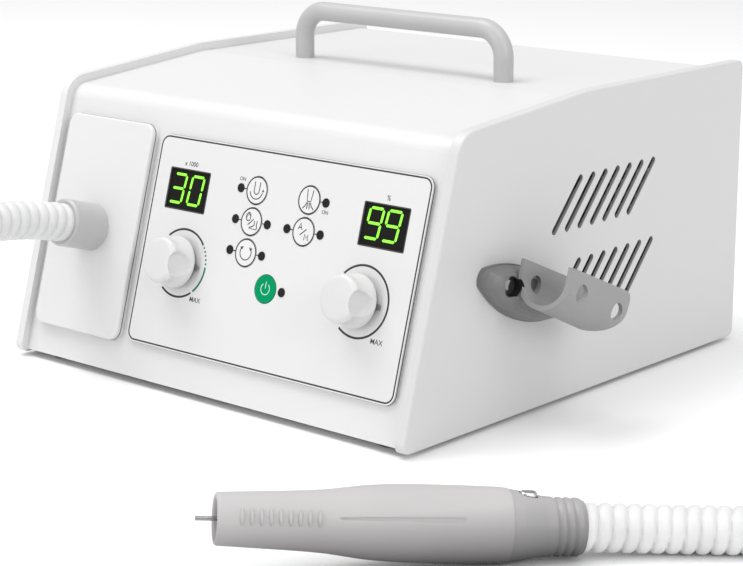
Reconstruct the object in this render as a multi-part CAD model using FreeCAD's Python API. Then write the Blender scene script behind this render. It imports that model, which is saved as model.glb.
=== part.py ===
import FreeCAD, Part
import math
import os

os.makedirs("parts", exist_ok=True)
Vector = FreeCAD.Vector

# Millimetres. X to the right, Y to the back, Z up; the origin is on the table
# under the middle of the housing's footprint.

# Housing seen from the side
unit_width = 243.0            # over both side panels
unit_depth = 250.0
unit_height = 137.4           # top of the side panels over the table
brow_drop = 7.738             # from the flat top down to the brow
front_lean = 16.14            # degrees back from upright
brow_slope = 5.1              # degrees, from the brow up to the flat top
foot_height = 2.0             # gap under the side panels
panel_thickness = 5.0
panel_corner_radius = 4.0
brow_radius = 12.0
panel_edge_radius = 1.0
panel_proud = 3.9             # panel edge in front of and over the shell
panel_proud_rear = 4.0
shell_lift = 1.5              # shell's lower edge over the panel's lower edge
shell_wall = 2.5
rear_flange = 12.0
base_wall = 2.0
base_flange = 12.0
rear_wall = 2.0

# Door over the dust bag, on the sloping front (x across, s up the slope)
door_margin = 5.3             # left panel to the door
door_low = 16.75              # foot of the front edge to the door
door_high = 15.65             # door to the brow
door_width = 57.0
door_radius = 5.5
door_plate = 2.2
door_edge_radius = 1.0
door_rim_margin = 6.0         # door edge to the opening in the shell
door_rim_depth = 4.0
door_rim_wall = 1.5
door_fit = 0.3                # door's rim to the opening
pad_height = 2.0              # raised bed under the door

# Hose and its collar in the door
hose_radius = 8.9             # over the ribs
hose_root_radius = 7.7        # between the ribs
hose_bore_radius = 6.5
rib_pitch = 6.7
rib_crest = 2.7
rib_flank = 1.1
hose_fit = 0.1
cuff_depth = 4.5              # how far the hose sits in the collar and the handpiece
collar_radius = 11.0
collar_length = 19.3
collar_shift = 0.1            # to the left of the door's middle
collar_drop = 1.2             # under the door's middle
collar_chamfer = 0.8
spigot_wall = 0.6
spigot_depth = 16.0           # from the door's face into the bag's mouth

# Dust bag, its chamber and the air path
chamber_wall = 1.6
chamber_margin = 1.5          # chamber inside over the opening in the shell
chamber_rear = -30.0
bag_gap = 1.5
bag_mouth = 1.5
bag_round = 12.0
filter_width = 36.0
filter_height = 56.0
filter_depth = 8.0
filter_pleats = 6
duct_wall = 1.6
duct_height = 52.0
duct_depth = 30.0
duct_margin = 1.0             # duct to the filter's sides
blower_margin = 25.5          # blower to the right panel
blower_z = 62.0
blower_radius = 46.0
blower_depth = 30.0
blower_wall = 2.0
blower_inlet_radius = 14.0
fan_gap = 4.0                 # fan to the blower's wall
fan_blades = 9
fan_blade_wall = 1.6
fan_blade_height = 12.0
fan_plate = 2.0
fan_shaft_radius = 3.0
blower_motor_radius = 29.0
blower_motor_length = 46.0
saddle_width = 12.0

# Key panel on the front
overlay_gap = 4.4             # door to the key panel
overlay_margin = 6.0          # key panel to the right panel
overlay_low = 18.8            # foot of the front edge to the key panel
overlay_high = 18.5           # key panel to the brow
overlay_radius = 5.0
overlay_thickness = 2.0
display_inset = 21.95         # key panel's end to the middle of a display
display_drop = 23.7           # key panel's upper edge to the middle of a display
display_width = 24.8
display_length = 18.2
display_fit = 0.2
display_recess = 0.5
display_back = 11.0
knob_left_inset = 26.1        # key panel's end to the middle of the left knob
knob_right_inset = 27.4
knob_drop = 8.35              # under the middle of the key panel
knob_skirt_radius = 11.7
knob_skirt_height = 2.1
knob_gap = 0.5
knob_cap_radius = 9.6
knob_height = 14.4
knob_dome_radius = 1.6
knob_scoop_radius = 16.0
knob_scoop_reach = 23.4
knob_scoop_base = 5.2
knob_notch_depth = 2.0
knob_notch_width = 3.0
shaft_radius = 3.0
shaft_fit = 0.05
shaft_grip = 10.5             # how far the shaft goes up into the knob
bushing_radius = 4.0
control_radius = 8.2
key_radius = 6.15
key_gap = 0.3
key_height = 1.65
key_proud = 0.15
key_stem_radius = 2.5
key_travel = 0.4
switch_size = 6.0
switch_height = 3.5
plunger_radius = 1.7
plunger_proud = 0.3           # plunger out of its switch
light_radius = 2.0
light_height = 0.25
window_margin = 1.6           # key window in the shell, around the keys

# Keys: name, x and s from the middle of the key panel, x of each light from the key
key_left = -16.15
key_right = 14.85
key_top = 29.5                # upper row over the middle of the key panel
key_row_gap = 1.5             # between two keys of one column
key_rows = [key_top - row * (2 * key_radius + key_row_gap) for row in range(3)]
power_offset = -0.95
power_drop = 11.7
light_near = 9.6
light_far = 9.7
keys = [
    ("motor_key", key_left, key_rows[0], (-light_far,)),
    ("pedal_key", key_left, key_rows[1], (-light_far, light_near)),
    ("direction_key", key_left, key_rows[2], (-light_far, light_near)),
    ("suction_key", key_right, key_rows[0], (light_near,)),
    ("auto_key", key_right, key_rows[1], (-light_far, light_near)),
    ("power_key", power_offset, -power_drop, (light_near,)),
]

# Circuit board behind the key panel
board_inset = 2.2             # key panel's edge to the board's edge
board_wall = 1.6
board_depth = 11.0            # from the shell's face to the board
standoff_radius = 3.0
standoff_inset = 6.0

# Carry handle
handle_radius = 4.6
handle_spread = 123.1
handle_y = 16.4
handle_rise = 28.0
handle_bend = 13.0
handle_screw_radius = 2.0
handle_screw_length = 18.0
handle_head_radius = 3.8
handle_head_height = 2.6
screw_fit = 0.1

# Slots in the right panel
slot_width = 3.3
slot_count = 7
slot_pitch = 9.35
slot_run = 18.5               # along the panel, from a slot's foot to its head
slot_rise = 20.7
slot_first_y = -24.05
slot_upper_z = 78.9
slot_row_drop = 37.0
slot_wall = 1.5               # panel left round the slots
slot_margin = 4.0             # thinner field round the slots

# Handpiece holder on the right panel
holder_tilt = 23.5            # degrees down towards the back
holder_y = -59.5              # front tips of the trough
holder_z = 75.0
holder_inner = 22.0           # width of the trough inside
holder_wall = 2.0
holder_length = 47.5
holder_depth = 19.5           # at the front
holder_rear_depth = 21.0
holder_nose_rake = 2.5
holder_rear_radius = 13.5
holder_tip_radius = 4.0       # upper rear corners of the trough
trough_round = 0.98           # corner radius of the trough as a share of its half width
holder_hole_radius = 3.8
holder_holes = ((11.6, 8.4), (40.2, 9.8))   # back along the trough, down
boss_height = 9.5
boss_length = 60.5
boss_width = 22.7
boss_flange = 1.5
boss_dome = ((0.0, 0.5), (0.35, 1.3), (0.65, 2.7), (0.86, 4.4), (1.0, 6.6))   # rise, draw-in
boss_forward = 13.7           # tip of the boss in front of the trough
boss_drop = 12.7
boss_tip = 0.35               # half height of the boss's ends as a share of its half width
holder_screw_radius = 2.0
holder_head_radius = 4.0
holder_head_height = 2.6
holder_screw_inset = 12.8
holder_screw_length = 20.0

# Screws and feet
screw_radius = 1.5
screw_head_radius = 2.9
screw_head_height = 1.5
screw_length = 11.0
lug_size = 12.0
lug_height = 12.0
base_screw_inset = 37.0       # front and rear of the unit to the screws
rear_screw_low = 24.0
rear_screw_drop = 25.0        # roof to the upper rear screws
foot_radius = 9.0
foot_side_inset = 19.5        # side of the unit to the middle of a foot
foot_end_inset = 20.0
foot_neck_radius = 4.2
foot_stem_radius = 2.0
foot_stem_fit = 0.1

# Rear panel fittings
inlet_side = 32.5             # left panel to the inlet's middle
inlet_width = 24.4
inlet_height = 16.4
inlet_depth = 15.0
inlet_wall = 1.8
inlet_flange = 2.0
inlet_flange_margin = 4.0
inlet_corner = 4.0
blade_width = 4.0
blade_wall = 2.0
blade_length = 10.0
blade_spread = 14.0
blade_drop = 3.5
drawer_width = 22.0
drawer_height = 7.4
drawer_length = 15.0
drawer_gap = 0.35
drawer_drop = 20.0            # under the inlet's middle
drawer_lip = 1.4
rocker_drop = 32.0            # roof to the rocker's pivot
rocker_spacing = 37.0         # rocker's pivot to the inlet's middle
rocker_width = 12.2
rocker_reach = 9.0            # from the pivot up and down to the edges
rocker_rise = 6.6             # from the pivot out to the edges
rocker_dish = 0.9
rocker_angle = 14.0
rocker_gap = 0.45
rocker_wall = 1.6
rocker_depth = 14.0
rocker_flange = 1.6
socket_spacing = 39.0         # inlet's middle to the pedal socket's
socket_z = 30.0
socket_radius = 9.5
socket_body_radius = 7.8
socket_bore_radius = 6.3
socket_depth = 10.0
socket_pin_radius = 0.6
socket_pin_ring = 3.4
socket_pin_length = 4.0
grille_z = 66.0
grille_width = 62.0
grille_slots = 8
grille_pitch = 6.0
grille_slot = 2.6
supply_side = 13.5            # left panel to the board
supply_gap = 3.0              # board to the inlet
supply_width = 78.0
supply_depth = 84.0
supply_board = 1.6
supply_leg = 5.0
supply_leg_radius = 3.0
supply_inset = 12.0           # board's edge to what stands on it
core_width = 42.0
core_depth = 36.0
core_height = 34.0
coil_overhang = 6.0           # coil in front of and behind the core
sink_width = 6.0
sink_height = 26.0
reservoir_radius = 8.0
reservoir_height = 21.0
reservoir_gap = 4.0

# Handpiece lying on the table: its nose, where it points, and its sizes along
# its own axis from the nose
nose_x = 155.6
nose_y = -262.5
nose_z = 22.6
handpiece_heading = 51.1      # degrees from X towards Y
handpiece_dip = 5.1           # degrees down towards the hose
nose_lead = 1.6
nose_chamfer = 0.9
nose_bore_radius = 6.9
sleeve_bore_radius = 11.4
sleeve_bore_start = 57.0
sleeve_end = 101.6
sleeve_lip = 2.0              # last taper of the sleeve
# outer profile of the sleeve: distance from the nose and radius
sleeve_sections = (
    (1.6, 9.4),
    (11.0, 9.8),
    (22.0, 10.25),
    (31.0, 10.7),
    (38.0, 11.25),
    (44.5, 12.15),
    (51.0, 13.0),
    (59.0, 13.55),
    (70.0, 13.8),
    (86.0, 13.8),
    (sleeve_end - sleeve_lip, 13.6),
    (sleeve_end, 13.3),
)
grip_ribs = 9
grip_first = 8.0
grip_pitch = 3.42
grip_length = 5.6
grip_width = 1.4
grip_proud = 0.7
grip_raise = 21.5             # degrees above the side of the sleeve
groove_start = 42.0
groove_end = 87.6
groove_width = 2.4
groove_depth = 0.7
cartridge_radius = 5.2
cartridge_wall = 0.7
cartridge_front = 4.0
plug_wall = 1.5               # tail's plug between the motor and the sleeve
can_wall = 1.0
can_lead = 2.0                # step in the sleeve's bore to the motor
can_setback = 1.8             # motor's end inside the sleeve
finned_length = 9.0
finned_setback = 3.0
fin_count = 8
fin_wall = 0.9
fin_fit = 0.05
bearing_width = 4.0
bearing_front = 8.0
bearing_setback = 11.0        # rear bearing before the motor
spindle_radius = 2.0
spindle_front = 5.0
spindle_setback = 2.8         # spindle's end inside the motor
mandrel_radius = 0.8
mandrel_proud = 8.5
mandrel_shank_radius = 1.175
mandrel_depth = 22.0
rotor_gap = 1.3               # round the rotor
rotor_lead = 5.0              # motor's front to the rotor
rotor_setback = 7.8           # rotor to the motor's end
tail_gap = 0.3                # line between the sleeve and the tail
tail_wall_radius = 8.2
tail_spider = 2.0
tail_plug = 1.5               # how far the tail reaches into the sleeve
# outer sections of the tail: distance from its front and radius
tail_profile = (
    (0.0, 13.1),
    (4.4, 12.46),
    (9.0, 11.54),
    (12.7, 10.84),
    (16.1, hose_radius + 1.7),
    (25.9, hose_radius + 1.55),
    (27.8, hose_radius + 0.6),
)
tail_groove_first = 17.3
tail_groove_pitch = 3.1
tail_groove_count = 3
tail_groove_reach = 1.05      # from the bottom of a groove to its lips
tail_groove_depth = 0.55
button_setback = 7.1          # tail's front to the middle of the button
button_length = 6.4
button_width = 4.4
button_gap = 0.35
button_floor = 9.3
button_travel = 0.9
button_under = 0.4            # left under the pressed button
button_height = 2.3
button_edge_radius = 0.9

# Route of the hose from the collar to the handpiece, as it lies on the table.
# The two ends are worked out from the collar and the handpiece.
exit_run = 42.5
tail_run = 28.5
hose_lift = 0.06              # hose over the table
floor_lay = hose_radius + hose_lift
route_middle = [
    (-80.0, -238.0, 70.0),
    (-45.0, -318.0, floor_lay),
    (0.0, -375.0, floor_lay),
    (66.0, -401.0, floor_lay),
    (146.0, -390.0, floor_lay),
    (284.0, -386.0, floor_lay),
    (379.0, -331.0, floor_lay),
    (446.0, -275.0, floor_lay),
    (474.0, -217.0, floor_lay),
    (472.0, -153.0, floor_lay),
    (437.0, -103.0, floor_lay),
    (377.0, -80.0, floor_lay),
    (313.0, -96.0, floor_lay),
]
arc_share = 0.45              # part of the shorter run that an arc takes
unit_end_length = 172.0       # ribbed length at the collar
tool_end_length = 138.0       # ribbed length at the handpiece

pieces = {}


# Small helpers

def unit(vector):
    return vector * (1.0 / vector.Length)


def frame(origin, x_axis, y_axis, z_axis):
    return FreeCAD.Matrix(
        x_axis.x, y_axis.x, z_axis.x, origin.x,
        x_axis.y, y_axis.y, z_axis.y, origin.y,
        x_axis.z, y_axis.z, z_axis.z, origin.z,
        0, 0, 0, 1)


def moved(shape, matrix):
    return shape.transformed(matrix, copy=True)


def block(x_low, x_high, y_low, y_high, z_low, z_high):
    return Part.makeBox(x_high - x_low, y_high - y_low, z_high - z_low,
                        Vector(x_low, y_low, z_low))


def rod(radius, low, high, x=0.0, y=0.0):
    return Part.makeCylinder(radius, high - low, Vector(x, y, low))


def tube(outer, inner, low, high, x=0.0, y=0.0):
    return rod(outer, low, high, x, y).cut(rod(inner, low - 1, high + 1, x, y))


def outline(points, radii):
    # a closed wire in the XY plane, whose rounded corners are tangent arcs
    if not isinstance(radii, (list, tuple)):
        radii = [radii] * len(points)
    corners = []
    for index, point in enumerate(points):
        here = Vector(point[0], point[1], 0)
        before = Vector(*points[index - 1][:2], 0)
        after = Vector(*points[(index + 1) % len(points)][:2], 0)
        come = unit(here - before)
        leave = unit(after - here)
        turn = come.getAngle(leave)
        if radii[index] <= 0 or turn < 1e-6:
            corners.append((here, None, here))
            continue
        reach = radii[index] * math.tan(turn / 2)
        depth = radii[index] / math.cos(turn / 2) - radii[index]
        middle = here + unit(leave - come) * depth
        corners.append((here - come * reach, middle, here + leave * reach))
    edges = []
    for index, (start, middle, end) in enumerate(corners):
        if middle is not None:
            edges.append(Part.Arc(start, middle, end).toShape())
        following = corners[(index + 1) % len(corners)][0]
        if (following - end).Length > 1e-5:
            edges.append(Part.LineSegment(end, following).toShape())
    return Part.Wire(edges)


def prism(points, radii, low, high):
    face = Part.Face(outline(points, radii))
    face.translate(Vector(0, 0, low))
    return face.extrude(Vector(0, 0, high - low))


def rectangle(x, y, width, length):
    return [(x - width / 2, y - length / 2), (x + width / 2, y - length / 2),
            (x + width / 2, y + length / 2), (x - width / 2, y + length / 2)]


def side_prism(points, radii, x_low, x_high):
    # points are (y, z); the prism runs along X
    shape = prism(points, radii, x_low, x_high)
    return moved(shape, frame(Vector(0, 0, 0), Vector(0, 1, 0), Vector(0, 0, 1), Vector(1, 0, 0)))


def rear_rod(radius, y_low, y_high, x, z):
    return Part.makeCylinder(radius, y_high - y_low, Vector(x, y_low, z), Vector(0, 1, 0))


def side_rod(radius, x_low, x_high, y, z):
    return Part.makeCylinder(radius, x_high - x_low, Vector(x_low, y, z), Vector(1, 0, 0))


def revolved(profile):
    # profile is (radius, height) pairs, closed, turned about the local Z axis
    points = [Vector(radius, 0, height) for radius, height in profile]
    face = Part.Face(Part.makePolygon(points + points[:1]))
    return face.revolve(Vector(0, 0, 0), Vector(0, 0, 1), 360)


def joined(shapes):
    whole = shapes[0].multiFuse(shapes[1:])
    return tidy(whole)


def tidy(shape):
    clean = shape.removeSplitter()
    if len(clean.Solids) == 1:
        return clean.Solids[0]
    return Part.makeCompound(clean.Solids)


def cut_all(shape, tools):
    return tidy(shape.cut(Part.makeCompound(tools)) if len(tools) > 1 else shape.cut(tools[0]))


def group(shapes):
    return Part.makeCompound(shapes)


def mirrored(shape):
    return shape.mirror(Vector(0, 0, 0), Vector(1, 0, 0))


# Shared places

half_inside = unit_width / 2 - panel_thickness
lean = math.radians(front_lean)
slope = math.radians(brow_slope)
front_up = Vector(0, math.sin(lean), math.cos(lean))
front_out = Vector(0, -math.cos(lean), math.sin(lean))
front_foot = Vector(0, -unit_depth / 2, foot_height)
front_base = front_foot - front_out * panel_proud
front_frame = frame(front_base, Vector(1, 0, 0), front_up, front_out)


def on_front(shape):
    # from x across, s up the slope and h out of the shell's face, into place
    return moved(shape, front_frame)


def front_y(inset, z):
    # where the front edge line, moved in by an inset, stands at a height
    start = front_foot - front_out * inset
    return start.y + (z - start.z) * math.tan(lean)


def side_outline(inset, rear_inset, bottom_inset):
    # foot, brow, top bend, top rear and rear foot of a panel's outline moved in
    bottom = foot_height + bottom_inset
    top = unit_height - inset
    rear = unit_depth / 2 - rear_inset
    brow_z = unit_height - brow_drop
    brow_y = front_y(0, brow_z)
    bend_y = brow_y + (unit_height - brow_z) / math.tan(slope)
    # the brow lies on the moved front line and on the moved slope of the top
    slope_z = brow_z - inset / math.cos(slope)
    start = front_y(inset, bottom)
    rise = (slope_z + (start - brow_y) * math.tan(slope) - bottom)
    height = rise / (1 - math.tan(lean) * math.tan(slope))
    brow = (start + height * math.tan(lean), bottom + height)
    bend = (bend_y + inset * math.tan(slope / 2), top)
    return [(start, bottom), brow, bend, (rear, top), (rear, bottom)]


def front_z(s, h):
    return front_base.z + s * front_up.z + h * front_out.z


# up the sloping front edge of a side panel, from its foot to the brow
front_length = (unit_height - brow_drop - foot_height) / math.cos(lean)
shell_low = foot_height + shell_lift
base_top = shell_low + base_wall
rear_inner = unit_depth / 2 - panel_proud_rear - shell_wall
rear_front = rear_inner - rear_wall
shell_roof = unit_height - panel_proud - shell_wall

door_length = front_length - door_low - door_high
door_s = door_low + door_length / 2
door_x = -half_inside + door_margin + door_width / 2
door_face = pad_height + door_plate
opening_width = door_width - 2 * door_rim_margin
opening_length = door_length - 2 * door_rim_margin
collar_x = door_x - collar_shift
collar_s = door_s - collar_drop
hose_seat = door_face + collar_length - cuff_depth

overlay_left = door_x + door_width / 2 + overlay_gap
overlay_right = half_inside - overlay_margin
overlay_width = overlay_right - overlay_left
overlay_x = (overlay_left + overlay_right) / 2
overlay_length = front_length - overlay_low - overlay_high
overlay_s = overlay_low + overlay_length / 2
display_xs = (overlay_left + display_inset, overlay_right - display_inset)
display_s = overlay_s + overlay_length / 2 - display_drop
left_knob_x = overlay_left + knob_left_inset
right_knob_x = overlay_right - knob_right_inset
knob_s = overlay_s - knob_drop
knob_low = overlay_thickness + knob_gap
stem_end = key_travel + key_gap + plunger_proud + switch_height - board_depth

chamber_floor = front_z(door_s - opening_length / 2, -shell_wall) - chamber_margin
chamber_roof = front_z(door_s + opening_length / 2, -shell_wall) + chamber_margin
duct_low = blower_z - duct_height / 2
duct_high = blower_z + duct_height / 2
duct_rear = chamber_rear + chamber_wall + filter_depth + duct_depth
blower_x = half_inside - blower_margin - blower_radius
fan_radius = blower_radius - blower_wall - fan_gap

foot_x = unit_width / 2 - foot_side_inset
foot_y = unit_depth / 2 - foot_end_inset
base_screw_y = unit_depth / 2 - base_screw_inset
rear_screw_high = shell_roof - rear_screw_drop
rocker_z = shell_roof - rocker_drop
inlet_z = rocker_z - rocker_spacing
inlet_x = inlet_side - half_inside
rocker_x = inlet_x
socket_x = inlet_x + socket_spacing
grille_x = blower_x
supply_x = supply_side - half_inside + supply_width / 2
supply_y = rear_inner - inlet_depth - inlet_wall - supply_gap - supply_depth / 2

can_radius = sleeve_bore_radius - plug_wall
can_start = sleeve_bore_start + can_lead
can_end = sleeve_end - can_setback
bearing_starts = (bearing_front, can_start - bearing_setback)
spindle_end = can_end - spindle_setback
rotor_radius = can_radius - can_wall - rotor_gap
tail_start = sleeve_end + tail_gap
tail_sections = [(tail_start + t, radius) for t, radius in tail_profile]
tail_end = tail_sections[-1][0]
button_at = tail_start + button_setback
button_foot = button_floor + button_travel + button_under
button_top = button_foot + button_height


# Housing

def key_window():
    xs = [overlay_x + key[1] for key in keys]
    ss = [overlay_s + key[2] for key in keys]
    reach = key_radius + window_margin
    return prism([(min(xs) - reach, min(ss) - reach), (max(xs) + reach, min(ss) - reach),
                  (max(xs) + reach, max(ss) + reach), (min(xs) - reach, max(ss) + reach)],
                 0, -shell_wall - 2, 1)


def housing_shell():
    outer = side_outline(panel_proud, panel_proud_rear, shell_lift)
    inner = side_outline(panel_proud + shell_wall, panel_proud_rear + shell_wall, shell_lift)
    flange_z = outer[3][1] - rear_flange
    fold = [outer[0], outer[1], outer[2], outer[3], (outer[3][0], flange_z),
            (inner[3][0], flange_z), inner[3], inner[2], inner[1], inner[0]]
    bend = brow_radius - panel_proud
    radii = [0, bend, 0, shell_wall, 0, 0, 0, 0, bend - shell_wall, 0]
    shell = side_prism(fold, radii, -half_inside, half_inside)
    pad = prism(rectangle(door_x, door_s, door_width, door_length), door_radius, -1, pad_height)
    shell = shell.fuse(on_front(pad))
    cuts = [prism(rectangle(door_x, door_s, opening_width, opening_length), 0,
                  -shell_wall - 2, pad_height + 1), key_window()]
    for x in display_xs:
        cuts.append(prism(rectangle(x, display_s, display_width, display_length), 0,
                          -shell_wall - 2, 1))
    for x in (left_knob_x, right_knob_x):
        cuts.append(rod(bushing_radius, -shell_wall - 2, 1, x, knob_s))
    cuts = [on_front(cut) for cut in cuts]
    for x in (-handle_spread / 2, handle_spread / 2):
        cuts.append(rod(handle_screw_radius + screw_fit, shell_roof - 1, unit_height, x, handle_y))
    return cut_all(shell, cuts)


def side_panel():
    # the right panel's blank with the lugs that the base and the rear screw into
    points = side_outline(0, 0, 0)
    radii = [panel_corner_radius, brow_radius, 0, panel_corner_radius, panel_corner_radius]
    blank = side_prism(points, radii, half_inside, unit_width / 2)
    edges = [edge for edge in blank.Edges if edge.BoundBox.XMin > unit_width / 2 - 0.001]
    blank = blank.makeFillet(panel_edge_radius, edges)
    low = half_inside - lug_size
    high = half_inside + 1
    parts = [blank]
    holes = []
    for y in (-base_screw_y, base_screw_y):
        parts.append(block(low, high, y - lug_size / 2, y + lug_size / 2,
                           base_top, base_top + lug_height))
        holes.append(rod(screw_radius, base_top - 1, base_top + lug_height + 1,
                         half_inside - lug_size / 2, y))
    for z in (rear_screw_low, rear_screw_high):
        parts.append(block(low, high, rear_front - lug_height, rear_front,
                           z - lug_size / 2, z + lug_size / 2))
        holes.append(rear_rod(screw_radius, rear_front - lug_height - 1, rear_front + 1,
                              half_inside - lug_size / 2, z))
    return cut_all(joined(parts), holes)


def vent_slot(y, z):
    # a slanted slot with round ends, through the right panel
    run = Vector(0, slot_run, slot_rise)
    along = unit(run)
    across = Vector(0, -along.z, along.y)
    ends = [Vector(0, y, z), Vector(0, y, z) + run]
    half = slot_width / 2
    corners = [ends[0] - across * half, ends[1] - across * half,
               ends[1] + across * half, ends[0] + across * half]
    edges = [
        Part.LineSegment(corners[0], corners[1]).toShape(),
        Part.Arc(corners[1], ends[1] + along * half, corners[2]).toShape(),
        Part.LineSegment(corners[2], corners[3]).toShape(),
        Part.Arc(corners[3], ends[0] - along * half, corners[0]).toShape(),
    ]
    face = Part.Face(Part.Wire(edges))
    face.translate(Vector(half_inside - 1, 0, 0))
    return face.extrude(Vector(panel_thickness + 2, 0, 0))


def right_side_panel():
    cuts = []
    last_y = slot_first_y + slot_pitch * (slot_count - 1) + slot_run
    for row in (0, 1):
        z = slot_upper_z - slot_row_drop * row
        # the panel is thinner behind each row of slots
        cuts.append(block(half_inside - 1, unit_width / 2 - slot_wall,
                          slot_first_y - slot_margin, last_y + slot_margin,
                          z - slot_margin, z + slot_rise + slot_margin))
        for index in range(slot_count):
            cuts.append(vent_slot(slot_first_y + slot_pitch * index, z))
    for y, z in holder_screw_places():
        cuts.append(side_rod(holder_screw_radius, half_inside - 1, unit_width / 2 + 1, y, z))
    return cut_all(side_panel(), cuts)


def base_plate():
    low = front_y(panel_proud + shell_wall, shell_low)
    high = front_y(panel_proud + shell_wall, base_top)
    lip_z = base_top + base_flange
    lip = front_y(panel_proud + shell_wall, lip_z)
    points = [(low, shell_low), (rear_inner, shell_low), (rear_inner, base_top),
              (high + base_wall, base_top), (lip + base_wall, lip_z), (lip, lip_z)]
    plate = side_prism(points, 0, -half_inside, half_inside)
    cuts = []
    for x in (-foot_x, foot_x):
        for y in (-foot_y, foot_y):
            cuts.append(rod(foot_stem_radius + foot_stem_fit, shell_low - 1, base_top + 1, x, y))
    for x in (lug_size / 2 - half_inside, half_inside - lug_size / 2):
        for y in (-base_screw_y, base_screw_y):
            cuts.append(rod(screw_radius + screw_fit, shell_low - 1, base_top + 1, x, y))
    for index in range(grille_slots):
        y = (index - (grille_slots - 1) / 2) * grille_pitch * 2
        cuts.append(block(-grille_width / 2, grille_width / 2, y - grille_slot, y + grille_slot,
                          shell_low - 1, base_top + 1))
    return cut_all(plate, cuts)


def rear_panel():
    plate = block(-half_inside, half_inside, rear_front, rear_inner, base_top, shell_roof)
    through = (rear_front - 1, rear_inner + 1)
    cuts = []
    for x in (lug_size / 2 - half_inside, half_inside - lug_size / 2):
        for z in (rear_screw_low, rear_screw_high):
            cuts.append(rear_rod(screw_radius + screw_fit, through[0], through[1], x, z))
    for index in range(grille_slots):
        z = grille_z + (index - (grille_slots - 1) / 2) * grille_pitch
        cuts.append(block(grille_x - grille_width / 2, grille_x + grille_width / 2,
                          through[0], through[1], z - grille_slot / 2, z + grille_slot / 2))
    wall = inlet_wall
    cuts.append(block(inlet_x - inlet_width / 2 - wall, inlet_x + inlet_width / 2 + wall,
                      through[0], through[1], inlet_z - drawer_drop - drawer_height / 2 - wall,
                      inlet_z + inlet_height / 2 + wall))
    half = rocker_width / 2 + rocker_gap + rocker_wall
    tall = rocker_hole_height() / 2 + rocker_wall
    cuts.append(block(rocker_x - half, rocker_x + half, through[0], through[1],
                      rocker_z - tall, rocker_z + tall))
    cuts.append(rear_rod(socket_body_radius, through[0], through[1], socket_x, socket_z))
    return cut_all(plate, cuts)


# Fasteners and feet

def pan_screw(length):
    # head from z = 0 down, shank up
    head = rod(screw_head_radius, -screw_head_height, 0)
    return joined([head, rod(screw_radius, -screw_head_height / 2, length)])


def base_screws():
    screws = []
    for x in (lug_size / 2 - half_inside, half_inside - lug_size / 2):
        for y in (-base_screw_y, base_screw_y):
            screw = pan_screw(screw_length)
            screw.translate(Vector(x, y, shell_low))
            screws.append(screw)
    return group(screws)


def rear_screws():
    screws = []
    for x in (lug_size / 2 - half_inside, half_inside - lug_size / 2):
        for z in (rear_screw_low, rear_screw_high):
            place = frame(Vector(x, rear_inner, z), Vector(1, 0, 0), Vector(0, 0, 1),
                          Vector(0, -1, 0))
            screws.append(moved(pan_screw(screw_length), place))
    return group(screws)


def rubber_feet():
    feet = []
    for x in (-foot_x, foot_x):
        for y in (-foot_y, foot_y):
            feet.append(joined([
                rod(foot_radius, 0, foot_height, x, y),
                rod(foot_neck_radius, foot_height / 2, shell_low, x, y),
                rod(foot_stem_radius, foot_height / 2, base_top, x, y),
            ]))
    return group(feet)


# Door, collar, dust bag and air path

def bag_cover():
    plate = prism(rectangle(door_x, door_s, door_width, door_length), door_radius,
                  pad_height, door_face)
    edges = [edge for edge in plate.Edges if edge.BoundBox.ZMin > door_face - 0.001]
    plate = plate.makeFillet(door_edge_radius, edges)
    rim_width = opening_width - 2 * door_fit
    rim_length = opening_length - 2 * door_fit
    rim = prism(rectangle(door_x, door_s, rim_width, rim_length), 0,
                pad_height - door_rim_depth, pad_height + 0.5)
    hollow = prism(rectangle(door_x, door_s, rim_width - 2 * door_rim_wall,
                             rim_length - 2 * door_rim_wall), 0,
                   pad_height - door_rim_depth - 1, pad_height)
    port = rod(hose_bore_radius + spigot_wall + hose_fit, pad_height - 2, door_face + 1,
               collar_x, collar_s)
    return on_front(cut_all(joined([plate, rim]), [hollow, port]))


def hose_collar():
    rim = door_face + collar_length
    spigot = hose_bore_radius + spigot_wall
    profile = [
        (hose_bore_radius, door_face - spigot_depth),
        (spigot, door_face - spigot_depth),
        (spigot, door_face),
        (collar_radius, door_face),
        (collar_radius, rim - collar_chamfer),
        (collar_radius - collar_chamfer, rim),
        (hose_radius + hose_fit, rim),
        (hose_radius + hose_fit, hose_seat),
        (hose_bore_radius, hose_seat),
    ]
    collar = revolved(profile)
    collar.translate(Vector(collar_x, collar_s, 0))
    return on_front(collar)


def chamber_half():
    return opening_width / 2 + chamber_margin


def chamber_outline(wall, depth):
    # side view of the chamber: it follows the slope of the front and is square behind
    inset = panel_proud + shell_wall + depth
    low = chamber_floor - wall
    high = chamber_roof + wall
    rear = chamber_rear + wall
    return [(front_y(inset, low), low), (rear, low), (rear, high), (front_y(inset, high), high)]


def bag_chamber():
    half = chamber_half()
    outer = side_prism(chamber_outline(chamber_wall, 0), 0,
                       door_x - half - chamber_wall, door_x + half + chamber_wall)
    inner = side_prism(chamber_outline(0, -2), 0, door_x - half, door_x + half)
    window = block(door_x - filter_width / 2 + duct_wall, door_x + filter_width / 2 - duct_wall,
                   chamber_rear - 1, chamber_rear + chamber_wall + 1,
                   blower_z - filter_height / 2 + duct_wall,
                   blower_z + filter_height / 2 - duct_wall)
    return cut_all(outer, [inner, window])


def dust_bag():
    # a filled paper bag with a stiff mouth plate round the collar's spigot
    mouth = door_face - spigot_depth + bag_mouth
    half = chamber_half() - bag_gap
    body = side_prism(chamber_outline(-bag_gap, bag_mouth - mouth - shell_wall), bag_round,
                      door_x - half, door_x + half)
    plate = on_front(prism(rectangle(door_x, door_s, 2 * half, opening_length - 4 * bag_gap), 0,
                           mouth - 2 * bag_mouth, mouth))
    reach = hose_bore_radius + spigot_wall + 2 * hose_fit
    hole = on_front(rod(reach, mouth - 2 * bag_mouth, mouth + 1, collar_x, collar_s))
    return cut_all(joined([body, plate]), [hole])


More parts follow.
